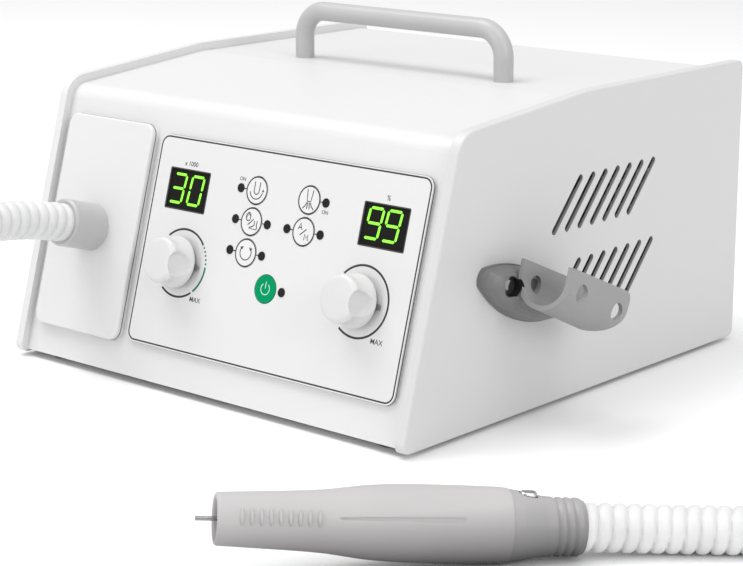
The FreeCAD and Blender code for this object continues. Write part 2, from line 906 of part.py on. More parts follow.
def motor_filter():
    # a pleated block between the chamber and the duct
    low = blower_z - filter_height / 2
    front = chamber_rear + chamber_wall
    pitch = filter_width / filter_pleats
    points = [(door_x - filter_width / 2, front), (door_x + filter_width / 2, front)]
    left = door_x - filter_width / 2
    back = front + filter_depth
    for index in range(filter_pleats, 0, -1):
        points.append((left + pitch * index, back))
        points.append((left + pitch * (index - 0.5), back - filter_depth / 2))
    points.append((left, back))
    return prism(points, 0, low, low + filter_height)


def suction_duct():
    front = chamber_rear + chamber_wall + filter_depth
    rear = front + duct_depth
    left = door_x - filter_width / 2 - duct_margin
    right = blower_x + blower_inlet_radius + 4 * duct_wall
    outer = block(left, right, front, rear, duct_low, duct_high)
    inner = block(left + duct_wall, right - duct_wall, front + duct_wall, rear - duct_wall,
                  duct_low + duct_wall, duct_high - duct_wall)
    mouth = block(door_x - filter_width / 2 + duct_wall, door_x + filter_width / 2 - duct_wall,
                  front - 1, front + duct_wall + 1, duct_low + 2 * duct_wall,
                  duct_high - 2 * duct_wall)
    outlet = rear_rod(blower_inlet_radius, rear - duct_wall - 1, rear + 1, blower_x, blower_z)
    return cut_all(outer, [inner, mouth, outlet])


def blower_housing():
    # local Z runs to the back; the rear wall has windows that let the air out
    rear = blower_depth - blower_wall
    drum = rod(blower_radius, 0, blower_depth)
    cuts = [rod(blower_radius - blower_wall, blower_wall, rear),
            rod(blower_inlet_radius, -1, blower_wall + 1),
            rod(fan_shaft_radius + 2, rear - 1, blower_depth + 1)]
    for index in range(4):
        window = block(blower_motor_radius + blower_wall, blower_radius - 3 * blower_wall,
                       -blower_inlet_radius, blower_inlet_radius, rear - 1, blower_depth + 1)
        window.rotate(Vector(0, 0, 0), Vector(0, 0, 1), 90.0 * index)
        cuts.append(window)
    return on_blower(cut_all(drum, cuts))


def blower_fan():
    # back plate, blades and the shaft that carries them; local Z runs to the back
    plate_low = blower_wall + 2 + fan_blade_height
    parts = [rod(fan_radius, plate_low, plate_low + fan_plate),
             rod(2.5 * fan_shaft_radius, blower_wall + 2, plate_low + fan_plate),
             rod(fan_shaft_radius, plate_low, blower_depth + blower_motor_length - 6)]
    for index in range(fan_blades):
        blade = block(blower_inlet_radius - 2, fan_radius - 1, -fan_blade_wall / 2,
                      fan_blade_wall / 2, blower_wall + 2, plate_low + 0.5)
        blade.rotate(Vector(blower_inlet_radius - 2, 0, 0), Vector(0, 0, 1), 28)
        blade.rotate(Vector(0, 0, 0), Vector(0, 0, 1), 360.0 * index / fan_blades)
        parts.append(blade)
    keep = rod(fan_radius, 0, blower_depth + blower_motor_length)
    return on_blower(tidy(joined(parts).common(keep)))


def on_blower(shape):
    return moved(shape, frame(Vector(blower_x, duct_rear, blower_z), Vector(1, 0, 0),
                              Vector(0, 0, -1), Vector(0, 1, 0)))


def blower_motor():
    low = blower_depth
    high = blower_depth + blower_motor_length
    body = tube(blower_motor_radius, fan_shaft_radius + shaft_fit, low, high)
    shoulder = tube(blower_motor_radius + 4, blower_motor_radius - 1, high - 8, high - 5)
    bore = rod(fan_shaft_radius + shaft_fit, low - 1, high + 1)
    return on_blower(cut_all(joined([body, shoulder]), [bore]))


def blower_mounts():
    front = duct_rear
    mounts = []
    for sign in (-1, 1):
        x = blower_x + sign * blower_radius / 2
        mount = block(x - saddle_width / 2, x + saddle_width / 2, front + 3,
                      front + blower_depth - 3, base_top, blower_z)
        drum = rear_rod(blower_radius, front - 1, front + blower_depth + 1, blower_x, blower_z)
        above = block(x - saddle_width, x + saddle_width, front, front + blower_depth,
                      blower_z - blower_radius / 2, blower_z + 1)
        mounts.append(cut_all(mount, [drum, above]))
    return group(mounts)


# Key panel, displays, keys and controls

def keypad_overlay():
    plate = prism(rectangle(overlay_x, overlay_s, overlay_width, overlay_length), overlay_radius,
                  0, overlay_thickness)
    cuts = []
    for x in display_xs:
        cuts.append(prism(rectangle(x, display_s, display_width, display_length), 0,
                          -1, overlay_thickness + 1))
    for x in (left_knob_x, right_knob_x):
        cuts.append(rod(bushing_radius, -1, overlay_thickness + 1, x, knob_s))
    for name, x, s, lights in keys:
        cuts.append(rod(key_radius + key_gap, -1, overlay_thickness + 1,
                        overlay_x + x, overlay_s + s))
    return on_front(cut_all(plate, cuts))


def display(x):
    fit = 2 * display_fit
    module = prism(rectangle(x, display_s, display_width - fit, display_length - fit), 0,
                   -display_back, overlay_thickness - display_recess)
    return on_front(module)


def indicator_lights():
    lights = []
    for name, x, s, offsets in keys:
        for offset in offsets:
            lights.append(rod(light_radius, overlay_thickness, overlay_thickness + light_height,
                              overlay_x + x + offset, overlay_s + s))
    return on_front(group(lights))


def key_button(x, s):
    top = overlay_thickness + key_proud
    cap = rod(key_radius, top - key_height, top, overlay_x + x, overlay_s + s)
    stem = rod(key_stem_radius, stem_end, top - key_height / 2, overlay_x + x, overlay_s + s)
    return on_front(joined([cap, stem]))


def key_switches():
    switches = []
    for name, x, s, lights in keys:
        base = prism(rectangle(overlay_x + x, overlay_s + s, switch_size, switch_size), 0,
                     -board_depth, -board_depth + switch_height)
        plunger = rod(plunger_radius, -board_depth + switch_height / 2,
                      stem_end - key_travel - key_gap, overlay_x + x, overlay_s + s)
        switches.append(joined([base, plunger]))
    return on_front(group(switches))


def knob():
    # skirt, hollow flare and a cap pinched from both sides; local Z runs out
    top = knob_low + knob_height
    skirt_top = knob_low + knob_skirt_height
    start = Vector(knob_skirt_radius - 0.9, 0, skirt_top + 0.9)
    end = Vector(knob_cap_radius, 0, skirt_top + 5.0)
    bulge = Vector(knob_cap_radius + 0.25, 0, skirt_top + 2.0)
    crown = Vector(knob_cap_radius - knob_dome_radius, 0, top - 0.4)
    corner = Vector(knob_cap_radius - 0.4, 0, top - 0.4 - 0.6 * knob_dome_radius)
    side = Vector(knob_cap_radius, 0, top - 0.4 - knob_dome_radius)
    axis_low = Vector(0, 0, knob_low)
    skirt = [axis_low, Vector(knob_skirt_radius, 0, knob_low),
             Vector(knob_skirt_radius, 0, skirt_top), start]
    edges = [Part.LineSegment(skirt[i], skirt[i + 1]).toShape() for i in range(3)]
    edges.append(Part.Arc(start, bulge, end).toShape())
    edges.append(Part.LineSegment(end, side).toShape())
    edges.append(Part.Arc(side, corner, crown).toShape())
    edges.append(Part.LineSegment(crown, Vector(0, 0, top)).toShape())
    edges.append(Part.LineSegment(Vector(0, 0, top), axis_low).toShape())
    body = Part.Face(Part.Wire(edges)).revolve(Vector(0, 0, 0), Vector(0, 0, 1), 360)
    cuts = [rod(shaft_radius + shaft_fit, knob_low - 1, knob_low + shaft_grip)]
    for sign in (-1, 1):
        cuts.append(rod(knob_scoop_radius, knob_low + knob_scoop_base, top + 1,
                        0, sign * knob_scoop_reach))
    cuts.append(block(knob_skirt_radius - knob_notch_depth, knob_skirt_radius + 1,
                      -knob_notch_width / 2, knob_notch_width / 2,
                      skirt_top - 0.9, skirt_top + 2))
    return cut_all(body, cuts)


def knob_shaft():
    return rod(shaft_radius, -board_depth + 3, knob_low + shaft_grip - 0.3)


def knob_control():
    # potentiometer body with its threaded bushing
    body = rod(control_radius, -board_depth, -shell_wall)
    neck = rod(bushing_radius - 0.1, -shell_wall - 1, overlay_thickness + knob_gap / 2)
    bore = rod(shaft_radius + shaft_fit, -board_depth + 2.7, overlay_thickness + 1)
    return cut_all(joined([body, neck]), [bore])


def at_knob(shape, x):
    placed = shape.copy()
    placed.translate(Vector(x, knob_s, 0))
    return on_front(placed)


def control_board():
    board = prism(rectangle(overlay_x, overlay_s, overlay_width - 2 * board_inset,
                            overlay_length - 2 * board_inset), 0,
                  -board_depth - board_wall, -board_depth)
    return on_front(board)


def board_standoffs():
    posts = []
    across = overlay_width / 2 - board_inset - standoff_inset
    along = overlay_length / 2 - board_inset - standoff_inset
    for x in (overlay_x - across, overlay_x + across):
        for s in (overlay_s - along, overlay_s + along):
            posts.append(rod(standoff_radius, -board_depth, -shell_wall, x, s))
    return on_front(group(posts))


# Carry handle

def roof_top():
    return unit_height - panel_proud


def carry_handle():
    half = handle_spread / 2
    low = roof_top()
    bar = low + handle_rise - handle_radius
    bend = handle_bend
    offset = bend * (1 - math.sqrt(0.5))
    points = [Vector(-half, handle_y, low), Vector(-half, handle_y, bar - bend),
              Vector(-half + offset, handle_y, bar - offset), Vector(-half + bend, handle_y, bar),
              Vector(half - bend, handle_y, bar), Vector(half - offset, handle_y, bar - offset),
              Vector(half, handle_y, bar - bend), Vector(half, handle_y, low)]
    path = Part.Wire([
        Part.LineSegment(points[0], points[1]).toShape(),
        Part.Arc(points[1], points[2], points[3]).toShape(),
        Part.LineSegment(points[3], points[4]).toShape(),
        Part.Arc(points[4], points[5], points[6]).toShape(),
        Part.LineSegment(points[6], points[7]).toShape(),
    ])
    section = Part.Wire([Part.makeCircle(handle_radius, points[0], Vector(0, 0, 1))])
    bar_shape = path.makePipeShell([section], True, False)
    holes = [rod(handle_screw_radius, low - 1, low + handle_screw_length - shell_wall,
                 x, handle_y) for x in (-half, half)]
    return cut_all(bar_shape, holes)


def handle_screws():
    screws = []
    for x in (-handle_spread / 2, handle_spread / 2):
        head = rod(handle_head_radius, shell_roof - handle_head_height, shell_roof, x, handle_y)
        shank = rod(handle_screw_radius, shell_roof - 1, shell_roof + handle_screw_length - 1,
                    x, handle_y)
        screws.append(joined([head, shank]))
    return group(screws)


# Handpiece holder: u runs back along the trough, v up out of it

holder_lean = math.radians(holder_tilt)
holder_back = Vector(0, math.cos(holder_lean), -math.sin(holder_lean))
holder_up = Vector(0, math.sin(holder_lean), math.cos(holder_lean))
holder_start = Vector(unit_width / 2, holder_y, holder_z)


def in_holder(shape):
    # local x runs out of the panel, y back along the trough, z up out of it
    return moved(shape, frame(holder_start, Vector(1, 0, 0), holder_back, holder_up))


def holder_screw_spots():
    # the front screw shows beside the trough, the rear one is reached through the trough
    return [(holder_screw_inset - boss_forward, boss_drop),
            (boss_length - boss_forward - holder_screw_inset, boss_drop)]


def holder_screw_places():
    places = []
    for u, drop in holder_screw_spots():
        point = holder_start + holder_back * u - holder_up * drop
        places.append((point.y, point.z))
    return places


def boss_outline(shrink):
    # two long arcs that meet in small round ends, like a boat seen from above
    wide = boss_width / 2 - shrink
    tip = wide * boss_tip
    front = shrink - boss_forward
    rear = boss_length - boss_forward - shrink
    middle = (front + rear) / 2
    inset = tip * boss_tip
    low = -boss_drop - tip
    high = -boss_drop + tip
    points = [Vector(0, front + inset, low), Vector(0, rear - inset, low),
              Vector(0, rear - inset, high), Vector(0, front + inset, high)]
    return Part.Wire([
        Part.Arc(points[0], Vector(0, middle, -boss_drop - wide), points[1]).toShape(),
        Part.Arc(points[1], Vector(0, rear, -boss_drop), points[2]).toShape(),
        Part.Arc(points[2], Vector(0, middle, -boss_drop + wide), points[3]).toShape(),
        Part.Arc(points[3], Vector(0, front, -boss_drop), points[0]).toShape(),
    ])


def handpiece_holder():
    flange = Part.Face(boss_outline(0)).extrude(Vector(boss_flange, 0, 0))
    rings = []
    for rise, draw_in in boss_dome:
        ring = boss_outline(draw_in)
        ring.translate(Vector(boss_flange + rise * (boss_height - boss_flange), 0, 0))
        rings.append(ring)
    dome = Part.makeLoft(rings, True, True)
    root = Part.Face(rings[-1]).extrude(Vector(holder_wall / 2, 0, 0))
    wide = holder_inner + 2 * holder_wall
    centre = boss_height + wide / 2
    trough = trough_bar(centre, wide / 2, 0)
    hollow = trough_bar(centre, holder_inner / 2, holder_wall)
    hollow = hollow.fuse(block(centre - holder_inner / 2, centre + holder_inner / 2,
                               -holder_wall, holder_length + holder_wall, -1, 5))
    # side view that rakes the nose and rounds the lower rear corner
    view = [(0, 0), (holder_nose_rake, -holder_rear_depth - 1),
            (holder_length, -holder_rear_depth), (holder_length, 0)]
    keep = side_prism(view, [0, 0, holder_rear_radius, holder_tip_radius],
                      -1, boss_height + wide + 1)
    whole = joined([flange, dome, root, trough.common(keep)])
    inner_face = boss_height + holder_wall
    cuts = [hollow]
    for u, drop in holder_holes:
        cuts.append(side_rod(holder_hole_radius, inner_face + 1, boss_height + wide + 1, u, -drop))
    u, drop = holder_holes[0]
    cuts.append(side_rod(holder_hole_radius, boss_height - 1, inner_face + 1, u, -drop))
    for u, drop in holder_screw_spots():
        cuts.append(side_rod(holder_screw_radius + screw_fit, -1, boss_height, u, -drop))
        cuts.append(side_rod(holder_head_radius + screw_fit, boss_height / 2, inner_face + 1,
                             u, -drop))
    return in_holder(cut_all(whole, cuts))


def trough_bar(x, half, wall):
    # a U-shaped bar that gets deeper to the back: straight walls over a round bottom
    ends = []
    for u, depth in ((-holder_wall, holder_depth), (holder_length + holder_wall,
                                                    holder_rear_depth)):
        low = wall - depth
        points = [(x - half, 0), (x - half, low), (x + half, low), (x + half, 0)]
        round_radius = half * trough_round
        wire = outline(points, [0, round_radius, round_radius, 0])
        ends.append(moved(wire, frame(Vector(0, u, 0), Vector(1, 0, 0), Vector(0, 0, 1),
                                      Vector(0, -1, 0))))
    return Part.makeLoft(ends, True, True)


def holder_screws():
    screws = []
    seat = boss_height / 2
    for u, drop in holder_screw_spots():
        head = side_rod(holder_head_radius, seat, seat + holder_head_height, u, -drop)
        shank = side_rod(holder_screw_radius, seat + 1 - holder_screw_length, seat + 1, u, -drop)
        screws.append(in_holder(joined([head, shank])))
    return group(screws)


# Rear fittings: y runs back, so the outside is at the larger y

def rocker_hole_height():
    # tall enough for the rocker's corners in both positions
    reach = math.hypot(rocker_reach, rocker_rise)
    corner = math.atan2(rocker_reach, rocker_rise) + math.radians(rocker_angle / 2)
    return 2 * (reach * math.sin(corner) + rocker_gap)


def mains_inlet():
    wall = inlet_wall
    half = inlet_width / 2
    low = inlet_z - drawer_drop - drawer_height / 2 - wall
    high = inlet_z + inlet_height / 2 + wall
    body = block(inlet_x - half - wall, inlet_x + half + wall,
                 rear_inner - inlet_depth - wall, rear_inner + 0.5, low, high)
    margin = inlet_flange_margin
    flange = block(inlet_x - half - margin, inlet_x + half + margin, rear_inner,
                   rear_inner + inlet_flange, low - margin + wall, high + margin - wall)
    face = rear_inner + inlet_flange
    left = inlet_x - half
    cavity = prism([(left, inlet_z - inlet_height / 2), (left + inlet_width, inlet_z
                    - inlet_height / 2), (left + inlet_width, inlet_z + inlet_height / 2),
                    (left, inlet_z + inlet_height / 2)], [0, 0, inlet_corner, inlet_corner],
                   -1, inlet_depth + inlet_flange - wall)
    cavity = moved(cavity, frame(Vector(0, face, 0), Vector(1, 0, 0), Vector(0, 0, 1),
                                 Vector(0, -1, 0)))
    z = inlet_z - drawer_drop
    gap = drawer_gap
    slot = block(inlet_x - drawer_width / 2 - gap, inlet_x + drawer_width / 2 + gap,
                 face - drawer_length - gap, face + 1,
                 z - drawer_height / 2 - gap, z + drawer_height / 2 + gap)
    return cut_all(joined([body, flange]), [cavity, slot])


def inlet_blades():
    blades = []
    floor = rear_inner - inlet_depth + inlet_wall
    for x, z in ((-blade_spread / 2, -blade_drop), (blade_spread / 2, -blade_drop),
                 (0, blade_drop)):
        centre = inlet_x + x
        height = inlet_z + z
        blades.append(block(centre - blade_wall / 2, centre + blade_wall / 2, floor,
                            floor + blade_length, height - blade_width / 2,
                            height + blade_width / 2))
    return group(blades)


def fuse_drawer():
    z = inlet_z - drawer_drop
    face = rear_inner + inlet_flange
    half = drawer_width / 2
    tray = block(inlet_x - half, inlet_x + half, face - drawer_length, face + drawer_gap,
                 z - drawer_height / 2, z + drawer_height / 2)
    hollow = block(inlet_x - half + 1.2, inlet_x + half - 1.2, face - drawer_length + 1.2,
                   face - 2, z - drawer_height / 2 + 1.2, z + drawer_height / 2 + 1)
    lip = block(inlet_x - half / 2, inlet_x + half / 2, face, face + drawer_gap + drawer_lip,
                z + drawer_height / 2 - 2, z + drawer_height / 2)
    return cut_all(joined([tray, lip]), [hollow])


def switch_frame():
    half = rocker_width / 2 + rocker_gap
    tall = rocker_hole_height() / 2
    body = block(rocker_x - half - rocker_wall, rocker_x + half + rocker_wall,
                 rear_inner - rocker_depth, rear_inner + 0.5,
                 rocker_z - tall - rocker_wall, rocker_z + tall + rocker_wall)
    flange = block(rocker_x - half - 2 * rocker_wall, rocker_x + half + 2 * rocker_wall,
                   rear_inner, rear_inner + rocker_flange,
                   rocker_z - tall - 2 * rocker_wall, rocker_z + tall + 2 * rocker_wall)
    cavity = block(rocker_x - half, rocker_x + half, rear_inner - rocker_depth + rocker_wall,
                   rear_inner + rocker_flange + 1, rocker_z - tall, rocker_z + tall)
    pins = []
    for sign in (-1, 1):
        start = rocker_x + sign * (half + 0.5)
        stop = rocker_x + sign * (rocker_width / 2 - 1.5)
        pins.append(side_rod(1.2, min(start, stop), max(start, stop), rocker_pivot_y(),
                             rocker_z))
    return tidy(joined([cut_all(joined([body, flange]), [cavity])] + pins))


def rocker_pivot_y():
    return rear_inner + rocker_flange - rocker_rise + 2.0


def switch_rocker():
    points = [(-3.0, -4.5), (-3.0, 4.5), (rocker_rise - 2.5, rocker_reach),
              (rocker_rise, rocker_reach), (rocker_rise - rocker_dish, 0),
              (rocker_rise, -rocker_reach), (rocker_rise - 2.5, -rocker_reach)]
    rocker = side_prism(points, 0, -rocker_width / 2, rocker_width / 2)
    bores = [side_rod(1.2 + shaft_fit, -rocker_width / 2 - 1, -rocker_width / 2 + 1.8, 0, 0),
             side_rod(1.2 + shaft_fit, rocker_width / 2 - 1.8, rocker_width / 2 + 1, 0, 0)]
    rocker = cut_all(rocker, bores)
    rocker.rotate(Vector(0, 0, 0), Vector(1, 0, 0), rocker_angle / 2)
    rocker.translate(Vector(rocker_x, rocker_pivot_y(), rocker_z))
    return rocker


def pedal_socket():
    face = rear_inner + inlet_flange
    body = rear_rod(socket_body_radius, face - socket_depth - 2, rear_inner + 0.5,
                    socket_x, socket_z)
    flange = rear_rod(socket_radius, rear_inner, face, socket_x, socket_z)
    cavity = rear_rod(socket_bore_radius, face - socket_depth, face + 1, socket_x, socket_z)
    socket = cut_all(joined([body, flange]), [cavity])
    pins = []
    for index in range(3):
        angle = math.pi * (0.5 + 2.0 * index / 3)
        pins.append(rear_rod(socket_pin_radius, face - socket_depth - 0.5,
                             face - socket_depth + socket_pin_length,
                             socket_x + socket_pin_ring * math.cos(angle),
                             socket_z + socket_pin_ring * math.sin(angle)))
    return joined([socket] + pins)


def power_supply():
    # board on legs with a transformer, a heat sink and two reservoir capacitors
    left = supply_x - supply_width / 2 + supply_inset
    right = supply_x + supply_width / 2 - supply_inset
    front = supply_y - supply_depth / 2 + supply_inset
    rear = supply_y + supply_depth / 2 - supply_inset
    low = base_top + supply_leg
    deck = low + supply_board / 2
    parts = [
        block(left - supply_inset, right + supply_inset, front - supply_inset,
              rear + supply_inset, low, low + supply_board),
        block(left, left + core_width, front + coil_overhang,
              front + coil_overhang + core_depth, deck, deck + core_height),
        block(left + coil_overhang, left + core_width - coil_overhang, front,
              front + 2 * coil_overhang + core_depth, deck, deck + core_height - coil_overhang),
        block(right - sink_width, right, front, rear, deck, deck + sink_height),
    ]
    for index in range(2):
        x = left + reservoir_radius + (2 * reservoir_radius + reservoir_gap) * index
        parts.append(rod(reservoir_radius, deck, deck + reservoir_height, x, rear))
    for x in (left - supply_inset / 2, right + supply_inset / 2):
        for y in (front - supply_inset / 2, rear + supply_inset / 2):
            parts.append(rod(supply_leg_radius, base_top, deck, x, y))
    return joined(parts)


# Handpiece: local Z runs from the nose to the tail, Y up, X to the side

def handpiece_axes():
    heading = math.radians(handpiece_heading)
    dip = math.radians(handpiece_dip)
    along = Vector(math.cos(heading) * math.cos(dip), math.sin(heading) * math.cos(dip),
                   -math.sin(dip))
    up = unit(Vector(0, 0, 1) - along * along.z)
    return up.cross(along), up, along


nose = Vector(nose_x, nose_y, nose_z)
handpiece_side, handpiece_up, handpiece_along = handpiece_axes()
handpiece_frame = frame(nose, handpiece_side, handpiece_up, handpiece_along)


def in_handpiece(shape):
    return moved(shape, handpiece_frame)


def turned_sleeve(inset):
    # solid turned from the smooth outer profile, moved in by an inset
    curve = Part.BSplineCurve()
    curve.interpolate([Vector(radius - inset, 0, t) for t, radius in sleeve_sections])
    start = Vector(sleeve_sections[0][1] - inset, 0, sleeve_sections[0][0])
    end = Vector(sleeve_sections[-1][1] - inset, 0, sleeve_end)
    tip = start - Vector(nose_chamfer, 0, nose_lead)
    edges = [
        curve.toShape(),
        Part.LineSegment(end, Vector(0, 0, sleeve_end)).toShape(),
        Part.LineSegment(Vector(0, 0, sleeve_end), Vector(0, 0, 0)).toShape(),
        Part.LineSegment(Vector(0, 0, 0), tip).toShape(),
        Part.LineSegment(tip, start).toShape(),
    ]
    return Part.Face(Part.Wire(edges)).revolve(Vector(0, 0, 0), Vector(0, 0, 1), 360)


def handpiece_sleeve():
    parts = [turned_sleeve(0)]
    for index in range(grip_ribs):
        for sign in (-1, 1):
            parts.append(grip_rib(grip_first + grip_pitch * index, sign))
    cuts = [
        rod(nose_bore_radius, -1, sleeve_bore_start + 1),
        rod(sleeve_bore_radius, sleeve_bore_start, sleeve_end + 1),
        Part.makeCone(nose_bore_radius + nose_lead, nose_bore_radius, nose_lead),
    ]
    floor = turned_sleeve(groove_depth)
    for sign in (-1, 1):
        cuts.append(side_groove(sign).cut(floor))
    return in_handpiece(cut_all(joined(parts), cuts))


def on_side(shape, sign):
    # turns what lies level on one side up to where the thumb and finger rest
    shape.rotate(Vector(0, 0, 0), Vector(0, 0, 1), sign * grip_raise)
    return shape


def grip_rib(t, sign):
    low = t - grip_width / 2
    high = t + grip_width / 2
    radius = radius_at(sleeve_sections, t)
    inner = radius - 2 * grip_proud
    outer = radius + grip_proud
    rib = block(min(sign * inner, sign * outer), max(sign * inner, sign * outer),
                -grip_length / 2, grip_length / 2, low, high)
    return on_side(rib.common(rod(outer, low, high)), sign)


def radius_at(sections, t):
    # radius between two neighbouring sections
    for low, high in zip(sections, sections[1:]):
        if low[0] <= t <= high[0]:
            share = (t - low[0]) / (high[0] - low[0])
            return low[1] + share * (high[1] - low[1])
    return sections[-1][1]


def side_groove(sign):
    # a long narrow slot with round ends, standing through the side
    half = groove_width / 2
    low = groove_start + half
    high = groove_end - half
    edges = [
        Part.LineSegment(Vector(0, -half, low), Vector(0, -half, high)).toShape(),
        Part.Arc(Vector(0, -half, high), Vector(0, 0, groove_end), Vector(0, half, high)).toShape(),
        Part.LineSegment(Vector(0, half, high), Vector(0, half, low)).toShape(),
        Part.Arc(Vector(0, half, low), Vector(0, 0, groove_start), Vector(0, -half, low)).toShape(),
    ]
    slot = Part.Face(Part.Wire(edges)).extrude(Vector(sign * 2 * sleeve_bore_radius, 0, 0))
    return on_side(slot, sign)


def nose_insert():
    low = finned_setback
    high = finned_setback + finned_length
    parts = [tube(nose_bore_radius - fin_fit, nose_bore_radius - 0.8, low, high),
             tube(cartridge_radius + 0.5, cartridge_radius + fin_fit, low, high)]
    for index in range(fin_count):
        fin = block(cartridge_radius + 0.3, nose_bore_radius - 0.6, -fin_wall / 2,
                    fin_wall / 2, low, high)
        fin.rotate(Vector(0, 0, 0), Vector(0, 0, 1), 360.0 * index / fin_count)
        parts.append(fin)
    return in_handpiece(joined(parts))


def motor_can():
    # slim bearing cartridge in front of the motor's own can
    inner = cartridge_radius - cartridge_wall
    profile = [
        (inner, cartridge_front),
        (cartridge_radius, cartridge_front),
        (cartridge_radius, can_start),
        (can_radius, can_start),
        (can_radius, can_end),
        (spindle_radius + 2, can_end),
        (spindle_radius + 2, can_end - can_wall),
        (can_radius - can_wall, can_end - can_wall),
        (can_radius - can_wall, can_start + can_wall),
        (inner, can_start + can_wall),
    ]
    return in_handpiece(revolved(profile))


def spindle_bearings():
    outer = cartridge_radius - cartridge_wall - fin_fit
    rings = [tube(outer, spindle_radius + shaft_fit, start, start + bearing_width)
             for start in bearing_starts]
    return in_handpiece(group(rings))


def drill_spindle():
    body = rod(spindle_radius, spindle_front, spindle_end)
    bore = rod(mandrel_shank_radius, spindle_front - 1, mandrel_depth)
    return in_handpiece(cut_all(body, [bore]))


def grinding_mandrel():
    # thin free end that takes a cap or a bit, on the thicker shank in the spindle
    pin = rod(mandrel_radius, -mandrel_proud, mandrel_radius)
    shank = rod(mandrel_shank_radius, 0, mandrel_depth)
    return in_handpiece(joined([pin, shank]))


def motor_rotor():
    return in_handpiece(tube(rotor_radius, spindle_radius, can_start + rotor_lead,
                             can_end - rotor_setback))


def tail_outline():
    # from the sleeve to the hose, with a few saw-tooth grooves before the end
    first = tail_start + tail_groove_first
    last = first + tail_groove_pitch * (tail_groove_count - 1)
    points = [(radius, t) for t, radius in tail_sections if t < first]
    for index in range(tail_groove_count):
        t = first + tail_groove_pitch * index
        for offset, depth in ((-tail_groove_reach, 0), (0, tail_groove_depth),
                              (tail_groove_reach, 0)):
            points.append((radius_at(tail_sections, t + offset) - depth, t + offset))
    return points + [(radius, t) for t, radius in tail_sections if t > last]


def tail_housing():
    socket = tail_end - cuff_depth
    start = tail_start
    plug = sleeve_end - tail_plug
    profile = tail_outline() + [
        (hose_radius + hose_fit, tail_end),
        (hose_radius + hose_fit, socket),
        (hose_bore_radius, socket),
        (hose_bore_radius, socket - 3),
        (tail_wall_radius, socket - 5),
        (tail_wall_radius, start + tail_spider),
        (can_radius - 2, start + tail_spider),
        (can_radius - 2, can_end),
        (can_radius + fin_fit, can_end),
        (can_radius + fin_fit, plug - tail_plug),
        (sleeve_bore_radius - fin_fit, plug - tail_plug),
        (sleeve_bore_radius - fin_fit, start),
    ]
    pocket = button_prism(button_gap, button_floor, button_top + 2)
    return in_handpiece(cut_all(revolved(profile), [pocket]))


def button_prism(grow, low, high):
    # an oval standing up out of the tail, long along the handpiece
    length = button_length / 2 + grow
    width = button_width / 2 + grow
    flat = length - width
    points = [Vector(width, 0, button_at - flat), Vector(width, 0, button_at + flat),
              Vector(-width, 0, button_at + flat), Vector(-width, 0, button_at - flat)]
    edges = [
        Part.LineSegment(points[0], points[1]).toShape(),
        Part.Arc(points[1], Vector(0, 0, button_at + length), points[2]).toShape(),
        Part.LineSegment(points[2], points[3]).toShape(),
        Part.Arc(points[3], Vector(0, 0, button_at - length), points[0]).toShape(),
    ]
    face = Part.Face(Part.Wire(edges))
    face.translate(Vector(0, low, 0))
    return face.extrude(Vector(0, high - low, 0))


def release_button():
    body = button_prism(0, button_foot, button_top)
    edges = [edge for edge in body.Edges if edge.BoundBox.YMin > button_top - 0.001]
    return in_handpiece(body.makeFillet(button_edge_radius, edges))


# Hose: straight runs joined by tangent arcs

def hose_points():
    start = front_frame.multVec(Vector(collar_x, collar_s, hose_seat))
    end = nose + handpiece_along * (tail_end - cuff_depth)
    points = [start, start + front_out * exit_run]
    points += [Vector(*point) for point in route_middle]
    points += [end + handpiece_along * tail_run, end]
    return points


def hose_edges(points):
    edges = []
    radii = []
    last = points[0]
    for index in range(1, len(points) - 1):
        here = points[index]
        come = unit(here - points[index - 1])
        leave = unit(points[index + 1] - here)
        turn = come.getAngle(leave)
        shorter = min((here - points[index - 1]).Length, (points[index + 1] - here).Length)
        reach = arc_share * shorter
        radius = reach / math.tan(turn / 2)
        depth = radius / math.cos(turn / 2) - radius
        edges.append(Part.LineSegment(last, here - come * reach).toShape())
        edges.append(Part.Arc(here - come * reach, here + unit(leave - come) * depth,
                              here + leave * reach).toShape())
        last = here + leave * reach
        radii.append(radius)
    edges.append(Part.LineSegment(last, points[-1]).toShape())
    return edges, radii


def split_path(edges, distance):
    # both sides of the path, cut in two at a distance along it
    index = 0
    while distance > edges[index].Length:
        distance -= edges[index].Length
        index += 1
    halves = edges[index].split(edges[index].getParameterByLength(distance)).Edges
    return edges[:index] + halves[:1], halves[1:] + edges[index + 1:]


def spot(edges, distance):
    # the point and the direction of the path at a distance along it
    for edge in edges:
        if distance <= edge.Length + 1e-6:
            place = edge.getParameterByLength(min(distance, edge.Length))
            return edge.valueAt(place), unit(edge.tangentAt(place))
        distance -= edge.Length
    edge = edges[-1]
    return edge.valueAt(edge.LastParameter), unit(edge.tangentAt(edge.LastParameter))


def hose_ring(edges, distance, radius):
    # a circle square to the path, whose own X axis stays level
    point, along = spot(edges, distance)
    level = unit(Vector(0, 0, 1).cross(along))
    up = along.cross(level)
    ring = Part.makeCircle(radius)
    return Part.Wire([moved(ring, frame(point, level, up, along))])


def pipe(edges, radius):
    path = Part.Wire(edges)
    return path.makePipeShell([hose_ring(edges, 0, radius)], True, False)


